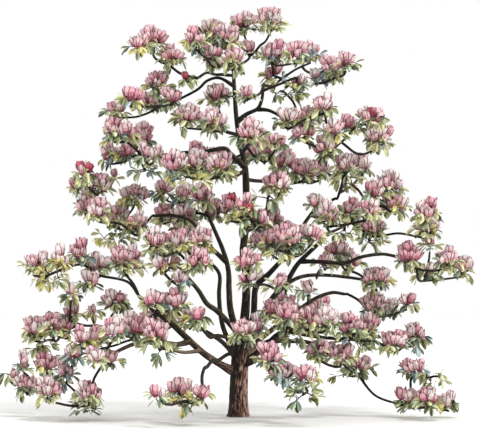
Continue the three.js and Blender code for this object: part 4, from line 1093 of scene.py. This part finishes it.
def leaf_grids(feet, directions, lengths, random):
    """Vertices of every leaf. It is rolled about its midrib, folded along it, and droops to its tip."""
    count = len(feet)
    level = unit(np.cross(directions, UP) + 1e-6)
    across = turned(level, np.cross(level, directions), random.normal(0, LEAF_ROLL, count))
    over = np.cross(across, directions)
    places = LEAF_ROWS * lengths[:, None]
    droop = random.uniform(0.0, LEAF_DROOP, count)[:, None] * lengths[:, None] * LEAF_ROWS**2
    middle = feet[:, None] + directions[:, None] * places[..., None] - UP * droop[..., None]
    halves = LEAF_WIDTH * (lengths / LEAF_LENGTH)[:, None] * LEAF_WIDTHS / 2
    columns = LEAF_COLUMNS[:, None]
    edges = across[:, None, None] * columns * halves[..., None, None]
    folds = over[:, None, None] * np.abs(columns) * (LEAF_FOLD * halves)[..., None, None]
    return middle[:, :, None] + edges + folds


def add_leaves(masses):
    random = np.random.default_rng(SEED + LEAF_SEED)
    feet, directions, sprays = leaf_places(masses, random)
    lengths = LEAF_LENGTH * random.uniform(*LEAF_LENGTHS, len(feet))
    lowest = feet[:, 2] + np.minimum(0, directions[:, 2] - LEAF_DROOP) * lengths
    above = lowest > GROUND_GAP
    feet, directions, sprays, lengths = (a[above] for a in (feet, directions, sprays, lengths))
    grids = leaf_grids(feet, directions, lengths, random)[:, None]
    colours = spray_colours(feet, sprays, random)[sprays]
    # Painted shade: a share of the leaves, chosen at random, is painted darker as if those leaves lay in
    # shadow.
    shadowed = random.uniform(0, 1, len(feet)) < SHADOWED_LEAF_SHARE
    # Painted light and shade: the first half of each leaf takes the lit colour, the second half the shaded
    # one.
    halves = 3 * colours[:, None] + shadowed[:, None] + [0, 1]
    slots = np.broadcast_to(halves[:, None, None], (len(feet), 1, len(LEAF_ROWS) - 1, 2))
    shades = [shade for shades in LEAF_COLOURS for shade in shades]
    materials = [tissue_material(f"leaf_{i}", shade, *LEAF_LOOK) for i, shade in enumerate(shades)]
    add_pieces("leaves", grids, slots, materials, masses)


# ---- Studio ----

IMAGE_WIDTH = 480
METRES_PER_PIXEL = 0.0146  # at the trunk
EYE_DISTANCE = 26.0
EYE_HEIGHT = 1.8
AIM = (0.022, 0.0, 2.869)
SENSOR = 36.0
FURTHEST_SEEN = 200
FLOOR_HALF = 90.0
FLOOR_COLOUR = (250, 250, 249)


def add_camera():
    data = bpy.data.cameras.new("camera")
    data.sensor_width = SENSOR
    data.lens = SENSOR * EYE_DISTANCE / (IMAGE_WIDTH * METRES_PER_PIXEL)
    data.clip_end = FURTHEST_SEEN
    camera = in_scene("camera", data)
    camera.location = (AIM[0], -EYE_DISTANCE, EYE_HEIGHT)
    tilt = math.atan2(AIM[2] - EYE_HEIGHT, EYE_DISTANCE)
    camera.rotation_euler = (math.pi / 2 + tilt, 0, 0)
    bpy.context.scene.camera = camera


def add_sun(name, energy, azimuth, elevation, angle):
    data = bpy.data.lights.new(name, "SUN")
    data.energy = energy
    data.angle = math.radians(angle)
    sun = in_scene(name, data)
    sun.rotation_euler = (math.radians(90 - elevation), 0, math.radians(azimuth))


def add_floor():
    half = FLOOR_HALF
    mesh = bpy.data.meshes.new("floor")
    corners = [(-half, -half, 0), (half, -half, 0), (half, half, 0), (-half, half, 0)]
    mesh.from_pydata(corners, [], [(0, 1, 2, 3)])
    floor = in_scene("floor", mesh)
    material, shader = principled("floor", 1.0)
    shader.inputs["Base Color"].default_value = linear(FLOOR_COLOUR)
    mesh.materials.append(material)


def add_studio():
    world = bpy.data.worlds.new("studio")
    world.use_nodes = True
    background = world.node_tree.nodes["Background"]
    background.inputs["Color"].default_value = (1.0, 1.0, 1.0, 1)
    background.inputs["Strength"].default_value = 1.0
    bpy.context.scene.world = world
    bpy.context.scene.view_settings.view_transform = "Standard"
    add_sun("key", energy=1.3, azimuth=40, elevation=48, angle=12)
    add_floor()
    add_camera()


# ---- The whole tree ----


def corners(box):
    return [list(corner) for corner in box]


limbs = grown_limbs()
masses = grown_masses(limbs)
add_bark(limbs)
twig_bark = bark_material("twig_bark", TWIG_WOOD, TWIG_WOOD)
add_stem_bark(masses, twig_bark)
add_twigs(masses, twig_bark)
add_petals(masses)
add_leaves(masses)
add_studio()
